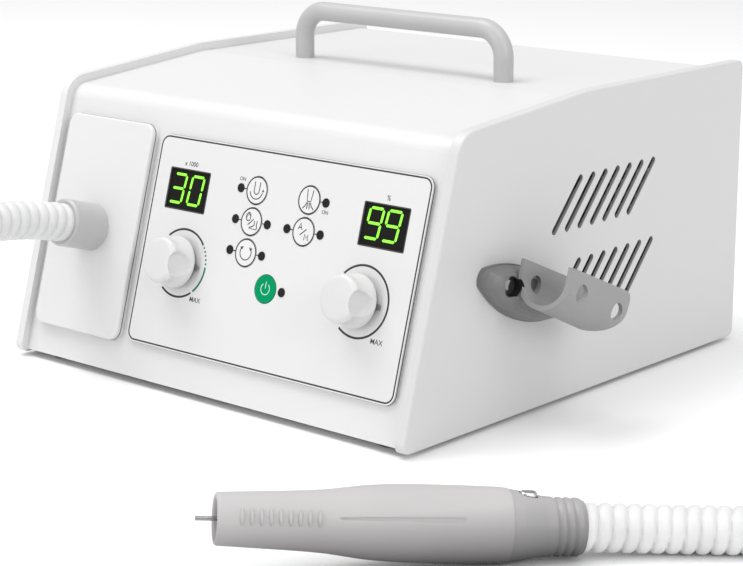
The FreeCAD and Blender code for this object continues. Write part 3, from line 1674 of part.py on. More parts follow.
def ribbed_hose(edges, first_cuff, last_cuff):
    length = sum(edge.Length for edge in edges)
    count = int((length - first_cuff - last_cuff) / rib_pitch)
    slack = length - first_cuff - last_cuff - count * rib_pitch
    rings = [hose_ring(edges, 0, hose_radius), hose_ring(edges, first_cuff, hose_radius)]
    for index in range(count):
        base = first_cuff + slack / 2 + index * rib_pitch
        valley = rib_pitch - rib_crest - 2 * rib_flank
        offsets = ((valley / 2, hose_root_radius), (valley / 2 + rib_flank, hose_radius),
                   (valley / 2 + rib_flank + rib_crest, hose_radius),
                   (rib_pitch - valley / 2, hose_root_radius))
        for offset, radius in offsets:
            rings.append(hose_ring(edges, base + offset, radius))
    rings.append(hose_ring(edges, length - last_cuff, hose_radius))
    rings.append(hose_ring(edges, length, hose_radius))
    outer = Part.makeLoft(rings, True, True)
    return tidy(outer.cut(pipe(edges, hose_bore_radius))), count, length


def plain_hose(edges):
    return tidy(pipe(edges, hose_radius).cut(pipe(edges, hose_bore_radius)))


def make_hose():
    points = hose_points()
    edges, radii = hose_edges(points)
    whole = sum(edge.Length for edge in edges)
    print("hose radii", [round(radius, 1) for radius in radii])
    print("hose length", round(whole, 1))
    before, tool_end = split_path(edges, whole - tool_end_length)
    unit_end, middle = split_path(before, unit_end_length)
    first, first_ribs, first_length = ribbed_hose(unit_end, cuff_depth + 1, 2.0)
    last, last_ribs, last_length = ribbed_hose(tool_end, 2.0, cuff_depth + 1)
    front = plain_hose(middle)
    section = math.pi * (hose_radius ** 2 - hose_bore_radius ** 2)
    length = sum(edge.Length for edge in middle)
    print("ribs", first_ribs, last_ribs, "lengths", round(first_length), round(length),
          round(last_length))
    print("plain run: volume over section times length",
          round(front.Volume / (section * length), 4))
    pieces["hose_unit_end"] = first
    pieces["hose_front_run"] = front
    pieces["hose_tool_end"] = last


def make_unit():
    pieces["housing_shell"] = housing_shell()
    pieces["left_side_panel"] = mirrored(side_panel())
    pieces["right_side_panel"] = right_side_panel()
    pieces["base_plate"] = base_plate()
    pieces["rear_panel"] = rear_panel()
    pieces["base_screws"] = base_screws()
    pieces["rear_screws"] = rear_screws()
    pieces["rubber_feet"] = rubber_feet()
    pieces["carry_handle"] = carry_handle()
    pieces["handle_screws"] = handle_screws()
    pieces["handpiece_holder"] = handpiece_holder()
    pieces["holder_screws"] = holder_screws()
    pieces["power_supply"] = power_supply()


def make_suction():
    pieces["bag_cover"] = bag_cover()
    pieces["hose_collar"] = hose_collar()
    pieces["bag_chamber"] = bag_chamber()
    pieces["dust_bag"] = dust_bag()
    pieces["motor_filter"] = motor_filter()
    pieces["suction_duct"] = suction_duct()
    pieces["blower_housing"] = blower_housing()
    pieces["blower_fan"] = blower_fan()
    pieces["blower_motor"] = blower_motor()
    pieces["blower_mounts"] = blower_mounts()


def make_controls():
    pieces["keypad_overlay"] = keypad_overlay()
    pieces["speed_display"] = display(display_xs[0])
    pieces["suction_display"] = display(display_xs[1])
    pieces["indicator_lights"] = indicator_lights()
    for name, x, s, lights in keys:
        pieces[name] = key_button(x, s)
    pieces["key_switches"] = key_switches()
    for side, x in (("speed", left_knob_x), ("suction", right_knob_x)):
        pieces[side + "_knob"] = at_knob(knob(), x)
        pieces[side + "_shaft"] = at_knob(knob_shaft(), x)
        pieces[side + "_control"] = at_knob(knob_control(), x)
    pieces["control_board"] = control_board()
    pieces["board_standoffs"] = board_standoffs()


def make_rear_fittings():
    pieces["mains_inlet"] = mains_inlet()
    pieces["inlet_blades"] = inlet_blades()
    pieces["fuse_drawer"] = fuse_drawer()
    pieces["switch_frame"] = switch_frame()
    pieces["switch_rocker"] = switch_rocker()
    pieces["pedal_socket"] = pedal_socket()


def make_handpiece():
    pieces["handpiece_sleeve"] = handpiece_sleeve()
    pieces["nose_insert"] = nose_insert()
    pieces["drill_spindle"] = drill_spindle()
    pieces["grinding_mandrel"] = grinding_mandrel()
    pieces["motor_can"] = motor_can()
    pieces["motor_rotor"] = motor_rotor()
    pieces["spindle_bearings"] = spindle_bearings()
    pieces["tail_housing"] = tail_housing()
    pieces["release_button"] = release_button()


make_unit()
make_suction()
make_controls()
make_rear_fittings()
make_handpiece()
make_hose()
for name, shape in pieces.items():
    if not shape.isValid() or shape.Volume <= 0:
        print("check the shape of", name)
    shape.exportStep("parts/" + name + ".step")
print(len(pieces), "pieces")
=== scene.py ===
import math

import bmesh
import bpy
import numpy as np
from mathutils import Matrix, Vector


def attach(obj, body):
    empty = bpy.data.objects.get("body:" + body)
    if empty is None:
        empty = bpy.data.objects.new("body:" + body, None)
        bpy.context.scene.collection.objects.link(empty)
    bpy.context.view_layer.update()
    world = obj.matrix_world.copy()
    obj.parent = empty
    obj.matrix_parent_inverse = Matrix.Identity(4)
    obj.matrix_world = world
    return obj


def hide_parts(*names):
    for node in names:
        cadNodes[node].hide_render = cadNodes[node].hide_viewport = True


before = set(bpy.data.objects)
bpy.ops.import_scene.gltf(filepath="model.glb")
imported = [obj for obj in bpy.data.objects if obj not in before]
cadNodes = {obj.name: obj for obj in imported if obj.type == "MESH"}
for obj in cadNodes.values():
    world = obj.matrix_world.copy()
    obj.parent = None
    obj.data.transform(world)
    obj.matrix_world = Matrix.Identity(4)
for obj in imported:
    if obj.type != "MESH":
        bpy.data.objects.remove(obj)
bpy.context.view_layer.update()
mm = 0.001
print("frame loaded:", len(cadNodes), "nodes")


# Places on the sloping front: x across, s up the slope, h out of the casing, all in mm

frontPlan = {"lean": 16.14, "foot": (0, -125, 2), "panelProud": 3.9}
frontLean = math.radians(frontPlan["lean"])
frontUp = Vector((0, math.sin(frontLean), math.cos(frontLean)))
frontOut = Vector((0, -math.cos(frontLean), math.sin(frontLean)))
frontBase = Vector(frontPlan["foot"]) - frontOut * frontPlan["panelProud"]


def onFront(x, s, h):
    return (frontBase + Vector((x, 0, 0)) + frontUp * s + frontOut * h) * mm


# Node helpers, for materials and for geometry

def feed(tree, node, inputs):
    # each input takes a value or another node's output
    for label, value in inputs.items():
        if isinstance(value, bpy.types.NodeSocket):
            tree.links.new(value, node.inputs[label])
        else:
            node.inputs[label].default_value = value


def addNode(tree, kind, inputs, **settings):
    node = tree.nodes.new(kind)
    for setting, value in settings.items():
        setattr(node, setting, value)
    feed(tree, node, inputs)
    return node.outputs


def mathNode(tree, operation, *values):
    return addNode(tree, "ShaderNodeMath", dict(enumerate(values)), operation=operation)[0]


def vectorNode(tree, operation, *values, output=0):
    return addNode(tree, "ShaderNodeVectorMath", dict(enumerate(values)),
                   operation=operation)[output]


def scaled(tree, vector, factor):
    return addNode(tree, "ShaderNodeVectorMath", {0: vector, "Scale": factor},
                   operation="SCALE")[0]


# Materials

def newMaterial(name):
    material = bpy.data.materials.new(name)
    material.use_nodes = True
    tree = material.node_tree
    place = addNode(tree, "ShaderNodeTexCoord", {})["Object"]
    return material, tree, tree.nodes["Principled BSDF"], place


def noiseField(tree, place, scale, roughness=0.5, stretch=None):
    if stretch:
        place = addNode(tree, "ShaderNodeMapping", {"Vector": place, "Scale": stretch})["Vector"]
    return addNode(tree, "ShaderNodeTexNoise", {
        "Vector": place, "Scale": scale, "Detail": 2.0, "Roughness": roughness})["Fac"]


def between(tree, value, low, high, start=0.3, end=0.7):
    return addNode(tree, "ShaderNodeMapRange", {
        "Value": value, "From Min": start, "From Max": end, "To Min": low, "To Max": high,
    })["Result"]


def blendColour(tree, field, first, second):
    ramp = tree.nodes.new("ShaderNodeValToRGB")
    ramp.color_ramp.elements[0].color = (*first, 1)
    ramp.color_ramp.elements[1].color = (*second, 1)
    feed(tree, ramp, {"Fac": between(tree, field, 0, 1)})
    return ramp.outputs["Color"]


def bumpFrom(tree, height, depth):
    return addNode(tree, "ShaderNodeBump", {"Height": height, "Distance": depth,
                                            "Strength": 1.0})["Normal"]


def paintShadeUnder(tree, place, paint, under):
    # painted shade: the colour falls to its share towards the lowest height
    low, high, share = under
    height = addNode(tree, "ShaderNodeSeparateXYZ", {0: place})["Z"]
    return scaled(tree, paint, between(tree, height, share, 1.0, low, high))


def paintShadeInside(tree, place, paint, spot):
    # painted shade: a smaller share of the colour inside a box, or inside a rod that lies along x
    centre, half, share, isRod = spot
    offset = vectorNode(tree, "ABSOLUTE", vectorNode(tree, "SUBTRACT", place, centre))
    ratio = vectorNode(tree, "DIVIDE", offset, half)
    parts = addNode(tree, "ShaderNodeSeparateXYZ", {0: ratio})
    if isRod:
        section = vectorNode(tree, "LENGTH", vectorNode(tree, "MULTIPLY", ratio, (0, 1, 1)),
                             output="Value")
    else:
        section = mathNode(tree, "MAXIMUM", parts["Y"], parts["Z"])
    far = mathNode(tree, "MAXIMUM", parts["X"], section)
    return scaled(tree, paint, between(tree, far, share, 1.0, 1 - softEdge, 1 + softEdge))


def surface(name, colour, tint, rough, patch, grain, grainDepth, metallic=0.0, stretch=None,
            coat=0.0, specular=0.5, under=None, shadeSpots=()):
    # the colour drifts a little over patches, and the grain sets roughness and a fine relief;
    # under paints shade on what lies low, darker towards the bottom: lowest height, highest height
    # and share of the colour;
    # shadeSpots are boxes or rods of painted shade, with a darker colour: centre, half sizes,
    # share, is it a rod
    material, tree, shader, place = newMaterial(name)
    if isinstance(colour, float):
        colour = (colour, colour, colour)
    drift = noiseField(tree, place, patch)
    fine = noiseField(tree, place, grain, 0.55, stretch)
    darker = tuple(max(0.0, value * (1 - tint)) for value in colour)
    lighter = tuple(min(1.0, value * (1 + tint)) for value in colour)
    paint = blendColour(tree, drift, darker, lighter)
    if under:
        paint = paintShadeUnder(tree, place, paint, under)
    for spot in shadeSpots:
        paint = paintShadeInside(tree, place, paint, spot)
    feed(tree, shader, {
        "Base Color": paint, "Roughness": between(tree, fine, *rough), "Metallic": metallic,
        "Coat Weight": coat, "Specular IOR Level": specular,
        "Normal": bumpFrom(tree, fine, grainDepth)})
    return material


# How softly a spot of painted shade ends, as a share of its half size
softEdge = 0.03

# Each surface: its grey or colour, how far the colour drifts, lowest and highest roughness,
# patches and grain per metre, and the grain's depth in metres; the rest follows by name
finishes = {
    "casingPaint": (0.63, 0.006, (0.34, 0.46), 9, 1100, 1.6e-5),
    # painted shade: the slotted right side panel is a darker copy of the casing paint, for the
    # shade on that side
    "slottedSidePaintedShade": (0.56, 0.006, (0.34, 0.46), 9, 1100, 1.6e-5),
    "barCoat": (0.42, 0.02, (0.3, 0.4), 30, 1500, 1.5e-5),
    "holderPlastic": (0.26, 0.05, (0.34, 0.5), 40, 1300, 2e-5),
    "collarPlastic": (0.42, 0.03, (0.28, 0.4), 40, 1300, 1.2e-5),
    "filmWhite": (0.63, 0.005, (0.3, 0.38), 14, 2200, 0.6e-5),
    "printGrey": ((0.045, 0.045, 0.047), 0.1, (0.5, 0.6), 60, 2500, 0.4e-5),
    "signGrey": ((0.06, 0.06, 0.062), 0.1, (0.5, 0.6), 60, 2500, 0.4e-5),
    "rimGrey": (0.06, 0.08, (0.5, 0.6), 60, 2500, 0.4e-5),
    "printGreen": ((0.004, 0.155, 0.085), 0.08, (0.5, 0.6), 60, 2500, 0.4e-5),
    "windowGlass": ((0.010, 0.0105, 0.009), 0.1, (0.3, 0.4), 40, 900, 0.3e-5),
    "keyWhite": (0.645, 0.01, (0.42, 0.5), 50, 1800, 0.8e-5),
    "keyGreen": ((0.0005, 0.25, 0.10), 0.05, (0.45, 0.55), 90, 1800, 0.8e-5),
    "powerInk": ((0.42, 0.72, 0.56), 0.05, (0.35, 0.45), 60, 2500, 0.4e-5),
    "lensDark": ((0.012, 0.012, 0.013), 0.1, (0.35, 0.5), 90, 900, 0.6e-5),
    "knobPlastic": (0.585, 0.01, (0.3, 0.4), 35, 1200, 1.2e-5),
    # painted shade: the neck under the knob's lip is dark grey for the shade that falls there
    "neckPaintedShade": (0.20, 0.05, (0.5, 0.6), 60, 1800, 0.8e-5),
    "pointerGrey": ((0.19, 0.19, 0.195), 0.08, (0.4, 0.5), 60, 1800, 0.8e-5),
    "handpieceShell": ((0.44, 0.427, 0.428), 0.015, (0.5, 0.6), 25, 1400, 1.4e-5),
    # painted shade: the sleeve's bore is dark grey for the shade inside it
    "sleeveBoreShade": ((0.16, 0.155, 0.15), 0.05, (0.5, 0.6), 60, 1400, 1e-5),
    "tailShell": ((0.362, 0.354, 0.359), 0.02, (0.38, 0.48), 30, 1400, 1.2e-5),
    "insertPlastic": ((0.82, 0.82, 0.81), 0.02, (0.35, 0.5), 60, 1500, 1e-5),
    "pinSteel": ((0.30, 0.30, 0.31), 0.1, (0.22, 0.36), 200, 2600, 1e-5),
    "releaseSteel": ((0.55, 0.56, 0.57), 0.05, (0.12, 0.22), 200, 2200, 0.6e-5),
    "turnedSteel": ((0.62, 0.63, 0.64), 0.05, (0.25, 0.4), 90, 2200, 0.8e-5),
    "platedSteel": ((0.60, 0.61, 0.62), 0.06, (0.3, 0.45), 25, 600, 1e-5),
    "brightBrass": ((0.78, 0.58, 0.26), 0.06, (0.2, 0.35), 80, 1500, 0.8e-5),
    "softRubber": ((0.022, 0.022, 0.023), 0.15, (0.6, 0.8), 60, 1100, 4e-5),
    "blackPlastic": ((0.028, 0.028, 0.03), 0.1, (0.35, 0.5), 50, 1300, 2e-5),
    "ductPlastic": ((0.18, 0.185, 0.19), 0.05, (0.4, 0.55), 40, 1000, 2.5e-5),
    "boardLacquer": ((0.012, 0.10, 0.05), 0.25, (0.25, 0.4), 120, 500, 3e-5),
    "bagPaper": ((0.62, 0.54, 0.42), 0.08, (0.8, 0.95), 55, 420, 9e-5),
    "pleatPaper": ((0.74, 0.71, 0.62), 0.05, (0.8, 0.92), 80, 650, 6e-5),
    "studioFloorPaper": (0.86, 0.002, (0.75, 0.9), 3, 80, 1e-5),
}
finishExtras = {
    # painted shade: the walls of the vent slots are darkened as if shade falls in them
    "slottedSidePaintedShade": {"shadeSpots": [((0.1155, 0.014, 0.0695), (0.0058, 0.044, 0.0335), 0.55, False)]},
    # painted shade: the boss is darkened for the trough's shade over it, and its two screw wells
    # darker still
    "holderPlastic": {"shadeSpots": [
        ((0.1260, -0.045, 0.055), (0.0052, 0.050, 0.040), 0.62, False),
        ((0.1280, -0.06539, 0.06371), (0.0060, 0.0045, 0.0045), 0.05, True),
        ((0.1280, -0.03339, 0.04980), (0.0060, 0.0045, 0.0045), 0.05, True)]},
    # painted shade: the handpiece shell and its tail grow darker towards their undersides
    "handpieceShell": {"specular": 0.3, "under": (0.001, 0.0245, 0.08)},
    "tailShell": {"specular": 0.4, "under": (0.001, 0.0235, 0.06)},
    "printGrey": {"specular": 0.15}, "signGrey": {"specular": 0.15},
    "rimGrey": {"specular": 0.15}, "printGreen": {"specular": 0.15},
    "windowGlass": {"specular": 0.05}, "keyGreen": {"specular": 0.03},
    "lensDark": {"specular": 0.12}, "neckPaintedShade": {"specular": 0.2},
    "studioFloorPaper": {"specular": 0.1}, "boardLacquer": {"coat": 0.3},
    "pinSteel": {"metallic": 1.0, "stretch": (1, 1, 0.2)}, "releaseSteel": {"metallic": 1.0},
    "turnedSteel": {"metallic": 1.0}, "brightBrass": {"metallic": 1.0},
    "platedSteel": {"metallic": 1.0, "stretch": (1, 12, 1)},
}
glowInk = {"grain": 1500, "colours": ((0.17, 0.76, 0.015), (0.30, 0.92, 0.05)),
           "strength": 0.42, "rough": (0.3, 0.45), "grainDepth": 0.4e-5}
hoseVinyl = {"patch": 60, "grain": 1400, "colours": ((0.60, 0.60, 0.605), (0.67, 0.67, 0.675)),
             "rough": (0.36, 0.5), "coat": 0.05, "grainDepth": 1.2e-5,
             "milky": 0.15, "milkyReach": (0.004, 0.004, 0.0042)}


def makeGlowInk():
    # lit segments in two greens that follow a fine grain
    material, tree, shader, place = newMaterial("glowInk")
    grain = noiseField(tree, place, glowInk["grain"])
    colour = blendColour(tree, grain, *glowInk["colours"])
    feed(tree, shader, {
        "Base Color": colour, "Emission Color": colour,
        "Emission Strength": glowInk["strength"],
        "Roughness": between(tree, grain, *glowInk["rough"]),
        "Normal": bumpFrom(tree, grain, glowInk["grainDepth"])})
    return material


def makeHoseVinyl():
    # milky soft plastic that light goes a little way into
    material, tree, shader, place = newMaterial("hoseVinyl")
    cloud = noiseField(tree, place, hoseVinyl["patch"])
    fine = noiseField(tree, place, hoseVinyl["grain"])
    feed(tree, shader, {
        "Base Color": blendColour(tree, cloud, *hoseVinyl["colours"]),
        "Roughness": between(tree, fine, *hoseVinyl["rough"]),
        "Subsurface Weight": hoseVinyl["milky"], "Subsurface Radius": hoseVinyl["milkyReach"],
        "Subsurface Scale": 1.0, "Coat Weight": hoseVinyl["coat"],
        "Normal": bumpFrom(tree, fine, hoseVinyl["grainDepth"])})
    return material


paints = {name: surface(name, *values, **finishExtras.get(name, {}))
          for name, values in finishes.items()}
paints["glowInk"] = makeGlowInk()
paints["hoseVinyl"] = makeHoseVinyl()
print("materials ready:", len(paints))


# Small mesh helpers; a material is given by its name

# points closer than this are one, and it keeps a divisor off zero
tiny = 1e-6


def addPiece(name, data):
    piece = bpy.data.objects.new(name, data)
    bpy.context.scene.collection.objects.link(piece)
    return piece


def newPiece(name, points, faces, paint, smooth=True):
    mesh = bpy.data.meshes.new(name)
    mesh.from_pydata([tuple(point) for point in points], [], faces)
    mesh.validate()
    mesh.materials.append(paints[paint])
    if smooth:
        mesh.polygons.foreach_set("use_smooth", [True] * len(mesh.polygons))
    return addPiece(name, mesh)


def outwardNormals(piece, crease=None):
    # points that meet are welded, and edges steeper than the crease stay crisp
    shape = bmesh.new()
    shape.from_mesh(piece.data)
    bmesh.ops.remove_doubles(shape, verts=shape.verts, dist=tiny)
    bmesh.ops.recalc_face_normals(shape, faces=shape.faces)
    if crease:
        for edge in shape.edges:
            if len(edge.link_faces) == 2:
                edge.smooth = edge.calc_face_angle(0) < math.radians(crease)
    shape.to_mesh(piece.data)
    shape.free()
    return piece


def plainMesh(piece):
    # what a curve, a text or a mesh with modifiers looks like, as a mesh of its own
    bpy.context.view_layer.update()
    graph = bpy.context.evaluated_depsgraph_get()
    return bpy.data.meshes.new_from_object(piece.evaluated_get(graph), depsgraph=graph)


def settle(piece):
    # the piece becomes one plain mesh of the same name
    name = piece.name
    made = plainMesh(piece)
    piece.modifiers.clear()
    if isinstance(piece.data, bpy.types.Mesh):
        piece.data = made
        return piece
    bpy.data.objects.remove(piece)
    return addPiece(name, made)


# Geometry trees

def treeWith(name, sizes):
    # a geometry tree, its named inputs, and the mesh line that it gets as a curve
    tree = bpy.data.node_groups.new(name, "GeometryNodeTree")
    for way in ("INPUT", "OUTPUT"):
        tree.interface.new_socket("Geometry", in_out=way, socket_type="NodeSocketGeometry")
    for label, kind in sizes.items():
        tree.interface.new_socket(label, in_out="INPUT", socket_type="NodeSocket" + kind)
    start = addNode(tree, "NodeGroupInput", {})
    return tree, start, addNode(tree, "GeometryNodeMeshToCurve", {0: start["Geometry"]})[0]


def finishTree(tree, geometry, start):
    real = addNode(tree, "GeometryNodeRealizeInstances", {0: geometry})[0]
    painted = addNode(tree, "GeometryNodeSetMaterial", {"Geometry": real,
                                                        "Material": start["Material"]})[0]
    addNode(tree, "NodeGroupOutput", {0: painted})
    return tree


def keptFields(tree, geometry, fields):
    # the geometry with number fields kept on its points, and the kept fields
    node = tree.nodes.new("GeometryNodeCaptureAttribute")
    for label in fields:
        node.capture_items.new("FLOAT", label)
    feed(tree, node, {"Geometry": geometry, **fields})
    return node.outputs


def grow(piece, tree, values):
    # the tree's inputs are set by name, and what it makes becomes the piece's own mesh
    modifier = piece.modifiers.new(tree.name, "NODES")
    modifier.node_group = tree
    for item in tree.interface.items_tree:
        if item.item_type == "SOCKET" and item.in_out == "INPUT" and item.name in values:
            modifier[item.identifier] = values[item.name]
    return settle(piece)


# Camera, floor and light

photoView = {
    "place": (0.65491, -0.75401, 0.27989),
    "look": (-0.63863, 0.73080, -0.24101),
    "roll": -0.05,
    "lens": 103.89,
    "sensor": 36.0,
    "clip": (0.05, 50.0),
    "floorHalf": 6.0,
}


def makeCamera():
    camera = bpy.data.cameras.new("photoCamera")
    camera.lens = photoView["lens"]
    camera.sensor_width = photoView["sensor"]
    camera.sensor_fit = "HORIZONTAL"
    camera.clip_start, camera.clip_end = photoView["clip"]
    holder = addPiece("photoCamera", camera)
    look = Vector(photoView["look"]).to_track_quat("-Z", "Y").to_matrix()
    turn = Matrix.Rotation(math.radians(photoView["roll"]), 3, "Z")
    holder.matrix_world = Matrix.Translation(photoView["place"]) @ (look @ turn).to_4x4()
    bpy.context.scene.camera = holder


def makeFloor():
    half = photoView["floorHalf"]
    corners = [(-half, -half, 0), (half, -half, 0), (half, half, 0), (-half, half, 0)]
    floor = newPiece("studioFloor", corners, [(0, 1, 2, 3)], "studioFloorPaper")


lightPlan = {
    "sky": 0.72,
    # name, place, aim, width, power
    "panels": [
        ("softOverhead", (-0.8, -0.5, 2.2), (0, -0.1, 0), 1.4, 30),
        ("softRight", (0.95, -0.3, 2.0), (0.12, 0, 0.05), 1.3, 10),
        ("softLow", (2.0, -0.5, 0.9), (0.12, 0, 0.05), 0.9, 11),
        ("softFront", (-0.6, -2.1, 0.8), (0, -0.1, 0.05), 1.2, 10),
    ],
}


def makeLight():
    world = bpy.data.worlds.new("studioAir")
    world.use_nodes = True
    feed(world.node_tree, world.node_tree.nodes["Background"],
         {"Color": (1, 1, 1, 1), "Strength": lightPlan["sky"]})
    bpy.context.scene.world = world
    for name, place, aim, size, power in lightPlan["panels"]:
        panel = bpy.data.lights.new(name, "AREA")
        panel.size = size
        panel.energy = power
        turn = (Vector(aim) - Vector(place)).to_track_quat("-Z", "Y").to_matrix().to_4x4()
        addPiece(name, panel).matrix_world = Matrix.Translation(place) @ turn
    bpy.context.scene.view_settings.view_transform = "Standard"


makeCamera()
makeFloor()
makeLight()
print("camera, floor and light ready")


# Suction hose: a smooth line on the route, then a tube with a helical corrugation

suctionHose = {
    "route": [
        (-0.0828, -0.12121, 0.06940), (-0.0828, -0.16204, 0.08122), (-0.0800, -0.2380, 0.0700),
        (-0.0450, -0.3180, 0.00896), (0.0, -0.3750, 0.00896), (0.0660, -0.4010, 0.00896),
        (0.1460, -0.3900, 0.00896), (0.2840, -0.3860, 0.00896), (0.3790, -0.3310, 0.00896),
        (0.4460, -0.2750, 0.00896), (0.4740, -0.2170, 0.00896), (0.4720, -0.1530, 0.00896),
        (0.4370, -0.1030, 0.00896), (0.3770, -0.0800, 0.00896), (0.3130, -0.0960, 0.00896),
        (0.251736, -0.143358, 0.008937), (0.23391, -0.16545, 0.01147),
    ],
    # the route is a spline of this order, with steps between its points
    "order": 3,
    "steps": 24,
    "crestRadius": 0.0089,
    "valleyRadius": 0.0072,
    "pitch": 0.0054,
    "crestPower": 3.4,
    "plainEnd": 0.0052,
    "ringStep": 0.00068,
    "sides": 28,
    "length": 1.19,
}


def routeLine():
    curve = bpy.data.curves.new("hoseRoute", "CURVE")
    curve.dimensions = "3D"
    curve.resolution_u = suctionHose["steps"]
    spline = curve.splines.new("NURBS")
    spline.points.add(len(suctionHose["route"]) - 1)
    for point, place in zip(spline.points, suctionHose["route"]):
        point.co = (*place, 1)
    spline.order_u = suctionHose["order"]
    spline.use_endpoint_u = True
    holder = addPiece("hoseRoute", curve)
    line = plainMesh(holder)
    bpy.data.objects.remove(holder)
    return line


def hoseTree():
    tree, start, line = treeWith("helicalHose", {
        "Crest": "Float", "Valley": "Float", "Pitch": "Float", "Crest Power": "Float",
        "Plain End": "Float", "Ring Step": "Float", "Sides": "Int", "Material": "Material"})
    even = addNode(tree, "GeometryNodeResampleCurve",
                   {"Curve": line, "Length": start["Ring Step"]}, mode="LENGTH")["Curve"]
    route = keptFields(tree, even, {
        "along": addNode(tree, "GeometryNodeSplineParameter", {})["Length"],
        "whole": addNode(tree, "GeometryNodeSplineLength", {})["Length"]})
    circle = addNode(tree, "GeometryNodeCurvePrimitiveCircle",
                     {"Resolution": start["Sides"], "Radius": start["Valley"]})["Curve"]
    ring = keptFields(tree, circle, {
        "around": addNode(tree, "GeometryNodeSplineParameter", {})["Factor"]})
    sweep = addNode(tree, "GeometryNodeCurveToMesh", {
        "Curve": route["Geometry"], "Profile Curve": ring["Geometry"], "Fill Caps": True})[0]
    # position in the turn of the helix, from 0 to 1, and a round crest between sharp valleys
    turns = mathNode(tree, "DIVIDE", route["along"], start["Pitch"])
    part = mathNode(tree, "FRACT", mathNode(tree, "ADD", turns, ring["around"]))
    double = mathNode(tree, "MULTIPLY", part, 2.0)
    off = mathNode(tree, "ABSOLUTE", mathNode(tree, "SUBTRACT", double, 1.0))
    crest = mathNode(tree, "SUBTRACT", 1.0, mathNode(tree, "POWER", off, start["Crest Power"]))
    # both ends run plain at the crest's radius
    last = mathNode(tree, "SUBTRACT", route["whole"], route["along"])
    nearest = mathNode(tree, "MINIMUM", route["along"], last)
    plain = mathNode(tree, "LESS_THAN", nearest, start["Plain End"])
    depth = mathNode(tree, "SUBTRACT", start["Crest"], start["Valley"])
    lift = mathNode(tree, "MULTIPLY", mathNode(tree, "MAXIMUM", crest, plain), depth)
    normal = addNode(tree, "GeometryNodeInputNormal", {})[0]
    bulge = addNode(tree, "GeometryNodeSetPosition",
                    {"Geometry": sweep, "Offset": scaled(tree, normal, lift)})[0]
    smooth = addNode(tree, "GeometryNodeSetShadeSmooth", {0: bulge})[0]
    return finishTree(tree, smooth, start)


def makeHose():
    line = routeLine()
    hose = grow(addPiece("suctionHose", line), hoseTree(), {
        "Crest": suctionHose["crestRadius"], "Valley": suctionHose["valleyRadius"],
        "Pitch": suctionHose["pitch"], "Crest Power": suctionHose["crestPower"],
        "Plain End": suctionHose["plainEnd"], "Ring Step": suctionHose["ringStep"],
        "Sides": suctionHose["sides"], "Material": paints["hoseVinyl"]})
    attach(hose, "unit")
    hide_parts("hose_unit_end", "hose_front_run", "hose_tool_end")
    return hose


hose = makeHose()
print("suction hose ready:", len(hose.data.polygons), "faces")


# Prints on the key panel: flat ink lines swept along strokes, drawn in mm on a flat sheet
# and laid on the slope

sheet = {
    "ink": 0.06,
    # how much letters are thickened, and the share of their size that their capitals reach
    "weight": 0.02,
    "capital": 0.73,
    "letterSteps": 4,
    # degrees from point to point on an arc, and the fewest steps of one
    "arcStep": 5,
    "arcLeast": 8,
    "dotSides": 24,
    "panelFace": 2.0,
    "keyFace": 2.15,
    "windowFace": 1.5,
}


def inkLineTree():
    tree, start, line = treeWith("inkLine", {"Width": "Float", "Thickness": "Float",
                                             "Material": "Material"})
    upright = addNode(tree, "GeometryNodeSetCurveNormal", {"Curve": line}, mode="Z_UP")[0]
    section = addNode(tree, "GeometryNodeCurvePrimitiveQuadrilateral",
                      {"Width": start["Width"], "Height": start["Thickness"]})[0]
    sweep = addNode(tree, "GeometryNodeCurveToMesh", {
        "Curve": upright, "Profile Curve": section, "Fill Caps": True})[0]
    return finishTree(tree, sweep, start)


def dotRowTree():
    # round dots spread evenly along each stroke
    tree, start, line = treeWith("dotRow", {
        "Count": "Int", "Radius": "Float", "Sides": "Int", "Thickness": "Float",
        "Material": "Material"})
    spread = addNode(tree, "GeometryNodeCurveToPoints",
                     {"Curve": line, "Count": start["Count"]}, mode="COUNT")["Points"]
    disc = addNode(tree, "GeometryNodeMeshCylinder", {
        "Vertices": start["Sides"], "Radius": start["Radius"],
        "Depth": start["Thickness"]})["Mesh"]
    dots = addNode(tree, "GeometryNodeInstanceOnPoints", {"Points": spread, "Instance": disc})[0]
    return finishTree(tree, dots, start)


lineTree = inkLineTree()
rowTree = dotRowTree()


def layOnFront(piece, x, s, h, body):
    place = Matrix((
        (1, 0, 0, 0), (0, frontUp.y, frontOut.y, 0), (0, frontUp.z, frontOut.z, 0), (0, 0, 0, 1)))
    piece.data.transform(Matrix.Translation(onFront(x, s, h)) @ place)
    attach(piece, body)


def strokeMesh(name, strokes, closed=False):
    points = []
    edges = []
    for stroke in strokes:
        first = len(points)
        points += [(x * mm, s * mm, 0) for x, s in stroke]
        edges += [(first + i, first + i + 1) for i in range(len(stroke) - 1)]
        if closed:
            edges.append((len(points) - 1, first))
    mesh = bpy.data.meshes.new(name)
    mesh.from_pydata(points, edges, [])
    return addPiece(name, mesh)


def inkStrokes(name, strokes, width, paint, closed=False, thick=sheet["ink"]):
    return grow(strokeMesh(name, strokes, closed), lineTree, {
        "Width": width * mm, "Thickness": thick * mm, "Material": paints[paint]})


def inkLines(name, strokes, width, paint, x=0, s=0, h=sheet["panelFace"], body="unit",
             **form):
    layOnFront(inkStrokes(name, strokes, width, paint, **form), x, s, h, body)


def inkShapes(name, outlines, paint, x, s, h, body="unit", thick=sheet["ink"]):
    # filled outlines, each a thin closed tile
    points = []
    faces = []
    half = thick / 2
    for outline in outlines:
        first = len(points)
        count = len(outline)
        for level in (-half, half):
            points += [(a * mm, b * mm, level * mm) for a, b in outline]
        faces.append(tuple(range(first + count - 1, first - 1, -1)))
        faces.append(tuple(range(first + count, first + 2 * count)))
        for i in range(count):
            after = (i + 1) % count
            faces.append((first + i, first + after, first + count + after, first + count + i))
    piece = newPiece(name, points, faces, paint, smooth=False)
    layOnFront(outwardNormals(piece), x, s, h, body)


